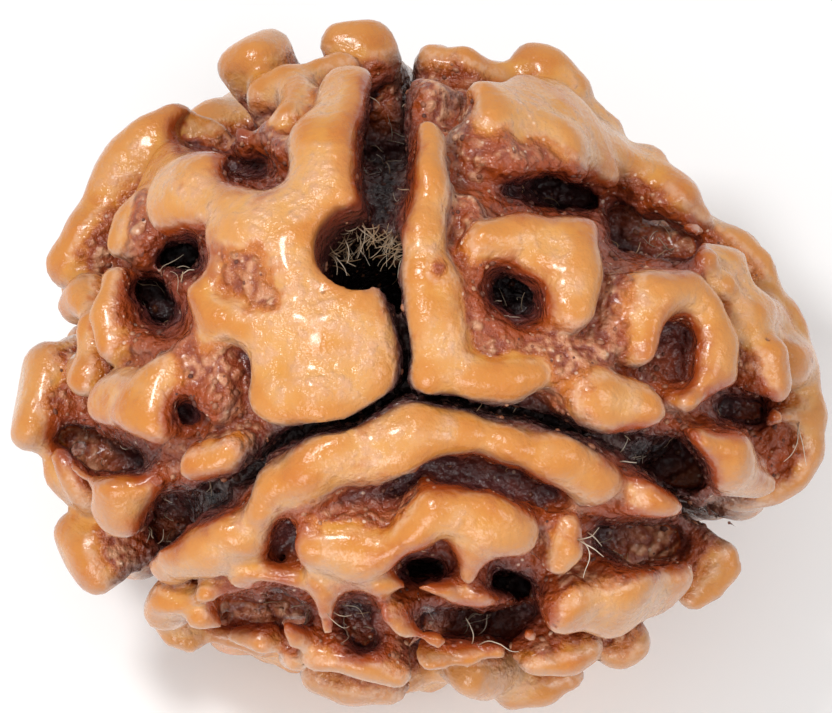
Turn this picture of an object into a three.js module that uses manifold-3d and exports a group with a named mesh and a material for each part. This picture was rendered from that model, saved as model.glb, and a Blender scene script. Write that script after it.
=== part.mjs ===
// A rudraksha seed: one hard, dry seed stone with a net of ridges and knobs over it.
// Three clefts part it into three faces and a threading bore runs through it.
//
// The body, which is the floor of the valleys, bulges inside an uneven outline. Ridges are
// rounded walls that follow lines over it. Those on the upper side and the rim are drawn one
// by one. Those round the flanks and underneath grow by a rule from a seeded draw. The clefts
// and the bore are cut afterwards.
import * as THREE from 'three';
import { SimplifyModifier } from 'three/addons/modifiers/SimplifyModifier.js';
import { mergeVertices } from 'three/addons/utils/BufferGeometryUtils.js';
import Module from 'manifold-3d';

// Driving dimensions, mm
const BODY_HALF_DEPTH_ABOVE = 6.95;
const BODY_HALF_DEPTH_BELOW = 6.3;
const BODY_BULGE = 2.6;
const FOOT_LEVEL = -7.75;
const UNDERFOOT_DEPTH = 10;
const BORE_RADIUS = 1.05;
const BORE_LENGTH = 24;
const CLEFT_DEPTH_LEVEL = -1.0;
const CLEFT_TOP_LEVEL = 4.0;
const CLEFT_HALF_WIDTH = 0.12;
const CLEFT_WIDENING = 0.012;
const RIM_CREST = 1.4;

// Angles, degrees
const BORE_LEAN = 10;
const DRAWING_TILT = 70;

// How finely the surface is faceted
const GRID_STEP = 0.2;
const GRID_HALF_SIZE = [10.8, 9.4, 9.2];
const EDGE_MARGIN = 0.08;
const TOUCHING_RETREAT = 0.15;
const FACETS = 11400;
const BORE_SIDES = 28;

// How the forms flow into each other, mm
const MIDDLE_LEVEL = 0.7;
const EDGE_ROUNDING = 0.55;
const RIDGE_BLEND = 0.5;
const MOUND_BLEND = 0.6;
const PIT_BLEND = 0.35;
const SINK_BLEND = 0.55;
const SINK_FLARE = 0.25;
const NOTCH_FLARE = 0.15;
const SINK_FARTHEST = 1.2;
const CREST_SAG = 0.10;
const WAIST = 0.10;
const WIDTH_SWING = 0.10;
const HEIGHT_SWING = 0.14;

// The relief lies between these levels over the valley floor, mm
const RELIEF_TOP = 3.8;
const RELIEF_BOTTOM = -2.2;

// The drawing plane stands square to this line of sight, far enough off to see nearly flat
const SIGHT_DISTANCE = 250;
const SIGHT_NEAR = 13;
const SIGHT_FAR = 6;
const SIGHT_STEP = 0.05;

// Reach of the outline on the drawing plane, every 15 degrees from the right and round by
// the top, mm
const OUTLINE = [
  9.75, 9.2, 8.2, 7.5, 7.7, 7.8, 8.0, 8.0, 8.1, 8.5, 8.8, 9.0,
  9.0, 9.6, 9.3, 9.2, 8.5, 8.4, 8.4, 8.5, 8.7, 8.7, 9.1, 9.9,
];

// How far the knobs and notches of the rim are turned towards the viewer
const RIM_FACING = 0.14;
const NOTCH_FACING = 0.05;


// Ridges and knobs seen from above: name, crest height over the valley floor, then points
// along the crest as [across, up, half width] on the drawing plane
const RIDGES = [
  ['shoulder block', 1.3, [[-6, 4.72, 0.84], [-5.15, 4.68, 0.8], [-5.9, 4, 0.9]]],
  ['shoulder block arm', 1.2, [[-5.6, 3.85, 0.8], [-4.4, 3.75, 0.72], [-3.4, 3.75, 0.75],
    [-2.7, 4.1, 0.75]]],
  ['tall ridge', 1.35, [[-1.72, 6.6, 0.82], [-2.05, 5.7, 0.95], [-2.2, 4.9, 0.97]]],
  ['tall ridge foot', 1.2, [[-2.2, 4.9, 0.95], [-2.6, 4, 0.85], [-3, 3, 0.7]]],
  ['bore seat', 1.12, [[-1.75, 1.7, 0.85], [-1.75, 2.6, 0.9], [-1.6, 3.5, 0.75]]],
  ['plate top edge', 1.15, [[-3.3, 3.1, 0.58], [-4.3, 3.15, 0.58], [-5, 3.05, 0.5]]],
  ['plate left edge', 1.05, [[-5, 3, 0.42], [-5.1, 2.3, 0.32], [-5.4, 1.7, 0.45]]],
  ['plate nose', 1.2, [[-5.5, 1.6, 0.54], [-4.9, 1.1, 0.58], [-4.1, 0.85, 0.62], [-3.3, 0.95, 0.65]]],
  ['plate beside bore', 1.15, [[-3.05, 3, 0.5], [-3.05, 2.1, 0.58], [-2.75, 1.3, 0.62]]],
  ['plate under bore', 1.15, [[-2.7, 1.1, 0.6], [-1.9, 1.05, 0.62], [-1.2, 1.05, 0.58]]],
  ['plate middle', 1.15, [[-3.4, 0.8, 0.7], [-2.3, 0.5, 0.8], [-1.28, 0.35, 0.72]]],
  ['plate lower', 1.2, [[-3.6, 0, 0.78], [-2.3, -0.1, 0.8], [-1.28, -0.15, 0.74]]],
  ['plate lip', 1.35, [[-1.22, -0.5, 0.66], [-2.3, -0.9, 0.74], [-3.6, -1.05, 0.76]]],
  ['bore shoulder', 1.15, [[-2.75, 3.2, 0.45], [-2.4, 3.95, 0.5], [-1.6, 4.25, 0.45]]],
  ['left crest', 1.3, [[-5.9, 5.9, 0.55], [-6.6, 5.5, 0.75], [-7.1, 4.8, 0.85], [-7.5, 3.95, 0.8]]],
  ['left crest knob', 1.35, [[-7.95, 3.4, 0.72], [-8.35, 2.7, 0.62], [-8.6, 2.3, 0.5]]],
  ['left crest tail', 1.2, [[-7.2, 3.5, 0.42], [-7.55, 2.9, 0.36]]],
  ['left crest back', 1.1, [[-6, 6.2, 0.38], [-5.2, 6, 0.28], [-4.6, 5.75, 0.32]]],
  ['left column', 1.25, [[-7.65, 2.1, 0.42], [-7.75, 1.2, 0.42], [-7.7, 0.4, 0.42]]],
  ['left knuckle', 1.4, [[-6.6, -0.5, 0.62], [-6.85, -1.3, 0.74]]],
  ['left knuckle side', 1.35, [[-6.85, -1.05, 0.84], [-7.6, -1, 0.84]]],
  ['far left cheek', 1.35, [[-8.8, -0.4, 0.6], [-8.85, -1.2, 0.58]]],
  ['left hem', 1.25, [[-8.55, -2.5, 0.32], [-7.9, -2.8, 0.34]]],
  ['far left bud', 1.2, [[-8.5, 0.35, 0.45]]],
  ['oval knob', 1.3, [[-5.5, -2.68, 0.55], [-4.75, -2.4, 0.48]]],
  ['lower left knob', 1.4, [[-7.5, -3.15, 0.55], [-7.4, -3.75, 0.66]]],
  ['lower left knob slope', 0.8, [[-7.3, -3.3, 0.5], [-6.7, -3.1, 0.45]]],
  ['lower lip left', 1.3, [[-3.5, -3, 0.48], [-2.7, -2.7, 0.6], [-1.6, -2.35, 0.68],
    [-0.5, -2.1, 0.66], [0.2, -1.75, 0.68]]],
  ['lower lip right', 1.2, [[0.3, -1.8, 0.66], [1.3, -1.85, 0.52], [2.2, -2.1, 0.48]]],
  ['lower lip end', 1.35, [[-3.7, -3.2, 0.48], [-3.95, -3.75, 0.54]]],
  ['right finger', 1.4, [[2.5, -2.2, 0.48], [3.6, -2.5, 0.58], [4.75, -3.05, 0.6]]],
  ['lower left ridge', 1.45, [[-4.75, -4.35, 0.72], [-5.5, -4.7, 0.92], [-6.15, -5.1, 0.74]]],
  ['lower left link', 1, [[-4, -4, 0.45], [-4.3, -4.5, 0.45], [-5, -4.5, 0.45]]],
  ['centre block', 1.45, [[-2.45, -4.8, 0.72], [-1.6, -4.85, 0.76], [-0.7, -4.85, 0.55]]],
  ['big ledge', 1.6, [[0.75, -3.72, 0.64], [1.6, -4, 0.82], [2.55, -4.28, 0.64]]],
  ['big ledge left', 1.45, [[0.6, -3.8, 0.6], [0, -4.4, 0.48], [-0.4, -4.75, 0.34]]],
  ['big ledge spine', 1.45, [[1.6, -4.2, 0.6], [1.4, -4.8, 0.42], [1.3, -5.4, 0.22]]],
  ['tiny knob', 1.3, [[0.35, -5.75, 0.22], [0.75, -5.85, 0.24]]],
  ['small finger', 1.35, [[4, -4.25, 0.28], [3.9, -4.7, 0.38], [3.65, -5.12, 0.38]]],
  ['wedge knob', 1.55, [[5.95, -3.1, 0.34], [6.25, -3.5, 0.52], [5.8, -3.75, 0.5]]],
  ['molar', 1.6, [[3.85, -6.2, 0.74], [4.9, -5.85, 0.92], [6.05, -5.6, 0.76]]],
  ['low knob', 1.6, [[3.05, -7.62, 0.5], [3.7, -7.5, 0.44], [4.4, -7.2, 0.35]]],
  ['bottom block face', 1.5, [[-2.3, -7.35, 0.48], [-1.3, -7.5, 0.5], [-0.5, -7.75, 0.4]]],
  ['down spine', 1.45, [[-2.5, -5.7, 0.34], [-2.3, -6.2, 0.3], [-2.2, -6.7, 0.22]]],
  ['under ledge', 1.15, [[-4.3, -5.3, 0.32], [-3.3, -5.5, 0.32], [-2.2, -5.7, 0.28], [-1, -5.65, 0.27],
    [0, -5.6, 0.22]]],
  ['under crumb', 1.2, [[-3.3, -6.5, 0.37], [-3, -6.9, 0.32]]],
  ['stack layer one', 1.3, [[-6.35, -5.95, 0.2], [-5.3, -5.85, 0.22], [-4.5, -6.05, 0.2]]],
  ['stack layer two', 1.4, [[-6.35, -6.55, 0.2], [-5.3, -6.38, 0.24], [-4.6, -6.6, 0.24]]],
  ['low shelf', 1.4, [[-4.5, -6.85, 0.3], [-3.85, -7, 0.32]]],
  ['fold chain', 1.2, [[-4.5, -5.55, 0.2], [-3.9, -5.95, 0.24], [-3.4, -6.35, 0.26]]],
  ['hollow fold', 1.1, [[0.9, -5.95, 0.17], [1.6, -6.25, 0.19], [2.4, -6, 0.19]]],
  ['hollow fold two', 1.2, [[1, -6.8, 0.19], [1.9, -6.88, 0.2], [2.7, -6.65, 0.22]]],
  ['under fold', 1.5, [[-0.9, -6.35, 0.18], [-0.3, -6.75, 0.22], [0.5, -6.9, 0.22], [1.2, -6.6, 0.16]]],
  ['under fold three', 1.25, [[1.7, -5.85, 0.16], [2.4, -6.3, 0.18], [2.85, -6.9, 0.2]]],
  ['under fold 2', 1.3, [[0.3, -7.45, 0.24], [1.3, -7.45, 0.2], [2.1, -7.3, 0.22]]],
  ['under knob', 1.1, [[1.3, -6, 0.32], [1.8, -6.1, 0.28]]],
  ['central bar', 1.35, [[0.35, 5.75, 0.44], [0.22, 4.6, 0.52], [0.22, 3.4, 0.54], [0.38, 2.2, 0.62],
    [0.45, 1, 0.7], [0.56, 0, 0.72]]],
  ['central foot', 1.3, [[0.56, -0.15, 0.62], [1.5, -0.45, 0.58], [2.4, -0.5, 0.52], [3, -0.4, 0.42]]],
  ['upper right block', 1.45, [[2.1, 6.3, 0.9], [3, 6.05, 0.98], [3.75, 5.55, 0.92], [4.65, 4.9, 0.8],
    [5.5, 4.65, 0.68]]],
  ['upper right flank', 1.2, [[1.95, 6.05, 0.42], [2.9, 5.8, 0.6], [3.7, 5.3, 0.66],
    [4.5, 4.75, 0.66]]],
  ['upper right arm', 1.45, [[5.6, 4.6, 0.62], [6.4, 4.15, 0.74], [6.8, 3.6, 0.6]]],
  ['right rim strip', 1.3, [[6.9, 3.3, 0.4], [7.2, 2.6, 0.3], [7.8, 1.9, 0.28], [8.3, 1.3, 0.27],
    [8.45, 0.9, 0.24]]],
  ['seven top', 1.2, [[1.75, 3.15, 0.45], [2.7, 3.25, 0.58], [3.8, 3.25, 0.66]]],
  ['seven leg', 1.35, [[4.05, 3.2, 0.7], [4.08, 2.4, 0.66], [3.9, 1.5, 0.74]]],
  ['seven inner', 1.1, [[2.35, 2.85, 0.42], [3.1, 2.55, 0.4], [3.5, 2.25, 0.36]]],
  ['arch left leg', 1.2, [[5.85, 0.2, 0.38], [5.95, 1, 0.45], [6.2, 1.7, 0.52]]],
  ['arch top', 1.35, [[6.2, 1.75, 0.54], [6.7, 1.9, 0.56], [7.2, 1.4, 0.54]]],
  ['arch right leg', 1.3, [[7.2, 1.3, 0.6], [7.45, 0.5, 0.7], [7.35, -0.4, 0.62], [6.95, -1, 0.42]]],
  ['right ball', 1.45, [[4.75, -1.05, 0.86], [5.45, -1.25, 0.82]]],
  ['rim lobe', 1.6, [[8.8, 0.15, 0.6], [8.9, -0.5, 0.62]]],
  ['right thumb', 1.45, [[7.2, -2.1, 0.42], [7.9, -2.45, 0.68], [8.4, -3, 0.66]]],
  ['right flake', 1.2, [[8.5, -1.7, 0.2], [9, -1.45, 0.24], [9.4, -1.35, 0.2]]],
  ['thumbnail ridge', 1.25, [[-2.95, 6.75, 0.54], [-3.2, 6.2, 0.5]]],
];

// Knobs that stand out at the rim: name, then points as above
const RIM_KNOBS = [
  ['top left ball', [[-3.9, 7.4, 0.85]]],
  ['top horn', [[-1.85, 8.1, 0.48], [-1.15, 7.95, 0.58]]],
  ['top finger', [[1.05, 7.2, 0.34], [1.22, 7.7, 0.38]]],
  ['top right lobe', [[2.75, 7.3, 0.45], [3.4, 7.22, 0.54], [4.05, 6.85, 0.58]]],
  ['back blob', [[4.5, 6.15, 0.36], [4.85, 5.85, 0.4]]],
  ['back blob two', [[5.5, 4.95, 0.34], [5.85, 5.12, 0.42]]],
  ['rim upper strip', [[7.3, 3.6, 0.3], [7.75, 3.1, 0.34], [8.1, 2.6, 0.32]]],
  ['rim upper lobe', [[8.5, 2.25, 0.4], [8.85, 1.85, 0.44]]],
  ['rim upper ridge', [[9.1, 1.3, 0.42], [9.5, 0.8, 0.48]]],
  ['right outer rim', [[9.72, -0.3, 0.38], [9.8, -1.3, 0.38], [9.72, -2.2, 0.42], [9.25, -2.9, 0.42]]],
  ['right thumb tip', [[8.75, -3.35, 0.5]]],
  ['right low knob', [[7.75, -4.35, 0.42], [7.55, -4.75, 0.46]]],
  ['right low fin', [[7.2, -5.35, 0.28], [8.1, -5.45, 0.28]]],
  ['right low fin two', [[6.9, -6, 0.28], [7.4, -5.9, 0.24]]],
  ['bottom right block', [[4.95, -7.05, 0.54], [5.5, -7.15, 0.54]]],
  ['bottom hem', [[2.3, -8.15, 0.34], [3.2, -8.25, 0.34], [3.9, -8.1, 0.38]]],
  ['bottom block', [[-2.3, -7.8, 0.66], [-1.55, -7.95, 0.62], [-0.75, -8.1, 0.56]]],
  ['bottom left fin', [[-3.9, -7.15, 0.34], [-4.7, -6.9, 0.32]]],
  ['stack fin one', [[-6.4, -6, 0.28], [-5.7, -6, 0.24]]],
  ['stack fin two', [[-6.45, -6.65, 0.28], [-5.6, -6.5, 0.22]]],
  ['stack fin three', [[-6.25, -7.15, 0.32], [-5.5, -7, 0.26]]],
  ['far lower left lobe', [[-8.4, -4.6, 0.72], [-8.1, -5.15, 0.7], [-7.6, -5.1, 0.5]]],
  ['far left lobe', [[-9.2, -0.55, 0.94], [-9.25, -1.4, 0.8]]],
  ['far left hem', [[-9.3, -2.3, 0.38], [-8.9, -2.85, 0.38], [-8.3, -3.05, 0.38]]],
  ['left wedge', [[-8.75, 2.35, 0.48]]],
  ['left crest edge', [[-5.95, 6, 0.55], [-6.6, 5.6, 0.62], [-7.2, 4.9, 0.62], [-7.6, 4.2, 0.6],
    [-8, 3.4, 0.6], [-8.4, 2.7, 0.55]]],
];

// Low rough mounds between the ridges, written like the ridges
const MOUNDS = [
  ['pit floor', 1.05, [[-4.25, 2.15, 0.85]]],
  ['crest fill', 0.95, [[-6.5, 4.9, 0.6], [-6.9, 4, 0.55], [-7.2, 3.2, 0.5]]],
  ['under brow', 0.85, [[1.7, 5.7, 0.9], [2.7, 5.4, 0.9], [3.7, 5, 0.8]]],
  ['right of bar', 0.62, [[1.3, 3.9, 0.5], [1.4, 2.7, 0.45], [1.55, 1.3, 0.5], [1.8, 0.6, 0.5],
    [2.6, 0.5, 0.6]]],
  ['mid right', 0.75, [[2.6, 0.5, 0.6], [3.4, -0.1, 0.65], [3.9, -0.5, 0.5]]],
  ['left of arch', 0.85, [[5.3, 1.9, 0.5], [5.3, 1, 0.55], [4.8, 0.2, 0.6]]],
  ['below foot', 0.9, [[2.2, -2.1, 0.5], [3.2, -2.3, 0.5]]],
  ['near arm', 0.55, [[5.6, 4.3, 0.6], [6.4, 3.8, 0.55]]],
  ['left mid', 0.85, [[-5.5, 0.2, 0.9], [-5.3, -0.7, 0.8]]],
  ['left below', 0.65, [[-7, 0.4, 0.4], [-6.6, 0.3, 0.4]]],
  ['brow left', 0.85, [[-3.3, 5.5, 0.6], [-3.7, 6, 0.55]]],
  ['top slope', 0.6, [[-0.35, 7, 0.6], [0.4, 6.8, 0.6], [1.2, 6.8, 0.5]]],
  ['low centre', 0.75, [[-2.6, -4, 0.5], [-1.2, -3.9, 0.55]]],
  ['low right', 0.8, [[2.9, -3.3, 0.5], [3.2, -4, 0.35]]],
  ['left flank', 0.7, [[-7.1, 3, 0.4], [-6.9, 3.4, 0.4]]],
  ['under finger', 0.8, [[4.6, -3.9, 0.35], [5.2, -3.9, 0.3]]],
  ['lip left', 0.9, [[-3.4, -3.4, 0.5], [-2.8, -3.2, 0.45], [-1, -2.9, 0.5]]],
];

// Deep places, sunk along the line of sight: name, level of the bottom, points along the middle
const PITS = [
  ['left dark', -1.5, [[-6.15, 2.62, 0.26], [-5.78, 2.62, 0.38]]],
  ['left dark low', -1.5, [[-6.6, 1.68, 0.36], [-6.35, 1.3, 0.38]]],
  ['seven hole', -1.4, [[2.2, 1.78, 0.34], [2.6, 1.5, 0.38]]],
  ['upper cleft', -1.4, [[-0.75, 6.55, 0.34], [-0.78, 5.4, 0.44], [-0.78, 4.5, 0.42],
    [-0.88, 3.7, 0.3]]],
  ['lower left dark', -1, [[-4.9, -3.35, 0.2], [-6, -3.75, 0.34], [-6.3, -4.2, 0.3]]],
  ['brow left dark', -0.8, [[-5.6, 5.75, 0.26], [-4.9, 5.65, 0.28]]],
  ['brow left dark low', -0.5, [[-4.5, 4.82, 0.17], [-3.9, 4.78, 0.2]]],
  ['under brow dark', -0.9, [[2.4, 4.25, 0.18], [3.3, 4.22, 0.26], [4.2, 4.05, 0.22]]],
  ['behind seven dark', -1.2, [[5.1, 3.65, 0.26], [5.3, 3.2, 0.36], [6, 3.05, 0.28], [6.6, 2.8, 0.3]]],
  ['right cleft dark', -1.6, [[5.5, -2.25, 0.32], [6.3, -2.4, 0.42], [6.8, -2.85, 0.4]]],
  ['right low dark', -1.5, [[4.75, -4.4, 0.3], [5.5, -4.55, 0.34], [6.3, -4.45, 0.3]]],
  ['ledge hole', -1, [[-0.1, -5.2, 0.22], [0.5, -5.15, 0.22]]],
  ['under hollow', -1.2, [[0.3, -6.42, 0.2], [1.2, -6.55, 0.19], [2.2, -6.52, 0.2], [2.8, -6.3, 0.15]]],
  ['under hollow two', -1.3, [[2.1, -5.45, 0.24], [2.7, -5.6, 0.24]]],
  ['under hollow three', -1.4, [[-1.5, -6.35, 0.36], [-1.3, -6.9, 0.26]]],
  ['under hollow four', 0.25, [[-3.9, -6.15, 0.3], [-4.6, -6.2, 0.24]]],
  ['far left dark', -1.2, [[-8.6, -1.9, 0.24], [-7.9, -2.3, 0.3], [-7, -2.5, 0.24]]],
  ['arch dark', 0.2, [[6.6, 0.6, 0.3], [6.6, -0.3, 0.28]]],
  ['knuckle dark', -0.2, [[-5.75, -1.3, 0.24]]],
  ['rim cavity', -1.1, [[7.8, -1.15, 0.3], [8.4, -1.25, 0.26]]],
  ['rim cavity low', 1.1, [[8.9, -2.05, 0.26], [9, -2.5, 0.24]]],
  ['above ledge', 0.1, [[0.6, -2.85, 0.16], [1.6, -2.85, 0.16], [2.4, -3.05, 0.16],
    [3.1, -3.45, 0.15]]],
  ['beside centre block', 0.2, [[-3.3, -4.3, 0.12], [-3.38, -4.8, 0.12]]],
  ['under block left', -0.8, [[-3.4, -5.95, 0.2], [-2.9, -6.3, 0.2]]],
];

// Gaps in the rim, written like the deep places
const NOTCHES = [
  ['saddle notch', 0.25, [[0, 7.65, 0.42], [0.42, 7.85, 0.28]]],
  ['left notch', -0.6, [[-8.7, 1.25, 0.45]]],
  ['left low notch', -0.3, [[-8.9, -3.6, 0.3]]],
  ['lower left notch', -0.3, [[-7, -6, 0.22]]],
  ['bottom left notch', -0.6, [[-3.3, -7.9, 0.3]]],
  ['ball notch', 0.3, [[-5.15, 6.75, 0.42]]],
  ['horn notch', 0.3, [[-2.72, 7.7, 0.22]]],
  ['lobe gap', 0.3, [[4.9, 6.7, 0.22]]],
  ['blob gap', 0.4, [[5.75, 5.65, 0.2]]],
  ['ridge gap', 0.4, [[6.75, 4.95, 0.16]]],
  ['bottom notch', -0.2, [[0.3, -8.6, 0.24]]],
  ['right low notch', -0.3, [[8.6, -4.4, 0.22]]],
  ['right fin gap', 0.1, [[8, -5.05, 0.13], [7.2, -5, 0.11]]],
  ['right fin gap two', 0.1, [[7.9, -5.8, 0.11], [7, -5.72, 0.1]]],
  ['stack gap one', 0.1, [[-6.95, -6.33, 0.11], [-5.9, -6.25, 0.1]]],
  ['stack gap two', 0.1, [[-6.85, -6.95, 0.11], [-5.8, -6.8, 0.1]]],
];

// The three clefts, each from the point where they meet out to the rim
const CLEFTS = [
  [
    [-0.3, -0.75], [-0.25, 0], [-0.4, 1], [-0.6, 1.8], [-0.9, 2.9], [-0.85, 3.6], [-0.8, 4.4],
    [-0.75, 5.2], [-0.8, 6.3], [-0.6, 6.9],
  ],
  [
    [-0.3, -0.75], [-0.9, -1.15], [-1.9, -1.6], [-3.2, -1.95], [-3.9, -2.3], [-4.4, -2.8],
    [-4.9, -3.3], [-5.8, -3.75], [-6.4, -4.3], [-7, -4.9],
  ],
  [
    [-0.3, -0.75], [0.6, -1], [1.7, -1.25], [3, -1.45], [4.2, -1.85], [5.5, -2.3], [6.4, -2.45],
    [6.9, -3.2], [7.25, -3.6],
  ],
];

// Growth of the ridges that the drawing doesn't cover
const GROWTH_SEED = 20817;
const GROWTH_SPACING = 1.95;
const GROWTH_RADIUS = 9.0;
const GROWTH_JITTER = 0.11;
const DRAWN_SIDE = 0.45;
const LOWEST_CREST = 0.45;
const OUTLINE_CLEARANCE = 0.05;
const FOOT_CLEARANCE = 0.2;
const LIP_START = 2;
const LINK_REACH = 3.0;
const LINK_NEIGHBOURS = 4;
const LINK_SHARE = 0.72;
const LOWER_POLE = new THREE.Vector3(0.10, 0.22, -0.97).normalize();

// Sizes of what grows, mm: the least size, and the most that the draw adds to it
const LIP_OFFSET = [0.78, 0.18];
const LIP_HALF_WIDTH = [0.46, 0.16];
const LIP_CREST = [1.1, 0.45];
const KNOB_HALF_WIDTH = [0.44, 0.3];
const KNOB_CREST = [1.15, 0.8];
const LINK_DROP = [0.05, 0.35];

// The same for a link's waist as a share of its knobs' half width, and for a knob's length
// in radians
const LINK_WAIST = [0.62, 0.3];
const KNOB_LENGTH = [0.06, 0.05];
const LINK_END = 0.85;
const KNOB_END = 0.8;

// How a cleft runs on past the drawing: step in mm, and sideways swings in radians
const CLEFT_STEP = 1.3;
const CLEFT_WOBBLE = 0.09;
const LINK_WOBBLE = 0.12;
const LIP_GAP_CHANCE = 0.4;

// Three broad feet under the seed: turn in degrees and distance from the middle
const FEET = [[25, 2.9], [148, 3.0], [262, 2.9]];
const FOOT_CREST = 1.75;
const FOOT_HALF_WIDTH = 1.0;
const FOOT_TOE_HALF_WIDTH = 0.85;
const FOOT_LENGTH = 0.9;
const FOOT_TURN = 0.25;
const HEEL_DEPTH = 7.9;
const TOE_DEPTH = 7.7;

// Keep points apart that would otherwise fall on one another, mm
const MIDDLE_NUDGE = 1e-6;
const POINT_NUDGE = 1e-4;

const COLOUR = 0xb8763a;

const wasm = await Module();
wasm.setup();

const tilt = THREE.MathUtils.degToRad(DRAWING_TILT);
const across = new THREE.Vector3(1, 0, 0);
const up = new THREE.Vector3(0, Math.sin(tilt), Math.cos(tilt));
const toViewer = new THREE.Vector3(0, -Math.cos(tilt), Math.sin(tilt));

// Reach of the outline in the direction that a direction has on the drawing plane
function outlineReach(d) {
  const turn = Math.atan2(d.dot(up), d.dot(across)) / (2 * Math.PI);
  const place = (turn < 0 ? turn + 1 : turn) * OUTLINE.length;
  const i = Math.floor(place) % OUTLINE.length;
  const ease = (1 - Math.cos(Math.PI * (place - Math.floor(place)))) / 2;
  return THREE.MathUtils.lerp(OUTLINE[i], OUTLINE[(i + 1) % OUTLINE.length], ease);
}

// Radius of the valley floor in a direction
function floorRadius(d) {
  const facing = d.dot(toViewer);
  const sideways = Math.sqrt(Math.max(0, 1 - facing * facing));
  const depth = facing > 0 ? BODY_HALF_DEPTH_ABOVE : BODY_HALF_DEPTH_BELOW;
  const spread = sideways / (outlineReach(d) - RIM_CREST);
  const flat = spread ** BODY_BULGE + (Math.abs(facing) / depth) ** BODY_BULGE;
  return flat ** (-1 / BODY_BULGE)
    + 0.10 * Math.sin(3.1 * d.x + 1.0) * Math.sin(2.7 * d.y + 0.4)
    + 0.08 * Math.sin(3.7 * d.z + 2.0) * Math.sin(2.9 * d.x - 0.7);
}

// The point at the middle of a ridge wall in a direction
function middlePoint(d) {
  return d.clone().multiplyScalar(floorRadius(d) + MIDDLE_LEVEL);
}

// A slow drift that keeps the drawn lines from running straight
function drift(p) {
  return new THREE.Vector3(
    0.10 * Math.sin(1.9 * p.y + 1.1 * p.z + 0.3) + 0.06 * Math.sin(3.7 * p.z - 2.3 * p.y + 1.0),
    0.10 * Math.sin(2.1 * p.z + 0.9 * p.x + 1.7) + 0.06 * Math.sin(3.3 * p.x + 2.9 * p.z + 0.2),
    0.10 * Math.sin(1.7 * p.x - 1.3 * p.y + 2.9) + 0.06 * Math.sin(3.9 * p.y - 2.1 * p.x + 0.9),
  );
}

// A slow rise and fall, from about -1 to 1, that varies the ridges' width and height
function swing(p) {
  const broad = Math.sin(1.45 * p.x + 0.9 * p.y - 1.2 * p.z + 0.5) * Math.sin(1.1 * p.y - 0.8 * p.x + 1.3);
  return 0.6 * broad + 0.4 * Math.sin(2.7 * p.x - 1.9 * p.z + 1.1 * p.y);
}

// A knob at the rim shows its outer flank, so its middle lies further round than it seems
function rimShift(u, v, width) {
  const reach = Math.hypot(u, v);
  if (reach < MIDDLE_NUDGE) return [u, v];
  const edge = new THREE.Vector3().addScaledVector(across, u / reach).addScaledVector(up, v / reach);
  const outline = floorRadius(edge) + RIM_CREST;
  const turn = Math.acos(Math.min(1, (reach + width) / outline)) + width / outline;
  const moved = (outline * Math.cos(turn)) / reach;
  return [u * moved, v * moved];
}

// The direction in which a point of the drawing meets the seed at a crest height
function directionOf(u, v, height, width = 0) {
  const [a, b] = rimShift(u, v, width);
  const eye = toViewer.clone().multiplyScalar(SIGHT_DISTANCE);
  const ray = new THREE.Vector3().addScaledVector(across, a).addScaledVector(up, b).sub(eye).normalize();
  const steps = Math.ceil((SIGHT_NEAR + SIGHT_FAR) / SIGHT_STEP);
  let best = Infinity;
  let nearest = null;
  for (let i = 0; i < steps; i += 1) {
    const point = eye.clone().addScaledVector(ray, SIGHT_DISTANCE - SIGHT_NEAR + i * SIGHT_STEP);
    const radius = point.length();
    const direction = point.divideScalar(radius);
    const gap = radius - floorRadius(direction) - height;
    if (gap < 0) return direction;
    if (gap < best) {
      best = gap;
      nearest = direction;
    }
  }
  return nearest;
}

// A ridge, mound, pit or cleft: a run of directions with a half width at each
class Run {
  constructor(height, blend, stations) {
    this.height = height;
    this.blend = blend;
    this.directions = stations.map(([direction]) => direction);
    this.widths = stations.map(([, width]) => width);
    this.points = this.directions.map((d) => {
      const p = middlePoint(d);
      return p.add(drift(p));
    });
    if (this.points.length === 1) {
      this.points.push(this.points[0].clone().addScalar(POINT_NUDGE));
      this.widths.push(this.widths[0]);
    }
    this.reach = Math.max(...this.widths) * (1 + WIDTH_SWING) + blend + 0.3;
    this.ball = new THREE.Sphere().setFromPoints(this.points);
  }
}

// A seeded draw between 0 and 1
class Draw {
  constructor(seed) {
    this.state = seed;
  }

  next() {
    this.state = (this.state * 48271) % 2147483647;
    return this.state / 2147483647;
  }

  size([least, more]) {
    return least + more * this.next();
  }
}

// Distance from a point to the segment i of a run, and the half width there
function distanceTo(run, i, p) {
  const a = run.points[i];
  const ab = run.points[i + 1].clone().sub(a);
  const ap = p.clone().sub(a);
  const t = THREE.MathUtils.clamp(ap.dot(ab) / Math.max(1e-9, ab.lengthSq()), 0, 1);
  const gap = ap.addScaledVector(ab, -t).length();
  return { gap, width: THREE.MathUtils.lerp(run.widths[i], run.widths[i + 1], t) };
}

function nearAnyRun(runs, p, margin) {
  return runs.some((run) => {
    for (let i = 0; i + 1 < run.points.length; i += 1) {
      const limit = Math.max(run.widths[i], run.widths[i + 1]) + margin;
      if (distanceTo(run, i, p).gap < limit) return true;
    }
    return false;
  });
}

const drawn = (list, blend, flank) => list.map(([, height, points]) => new Run(
  height,
  blend,
  points.map(([u, v, width]) => [directionOf(u, v, height, flank ? width : 0), width]),
));

// The direction of a point of the drawing that lies at the rim, turned a little to the viewer
function rimDirection(u, v, facing) {
  return new THREE.Vector3()
    .addScaledVector(across, u)
    .addScaledVector(up, v)
    .addScaledVector(toViewer, facing * Math.hypot(u, v))
    .normalize();
}

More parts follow.
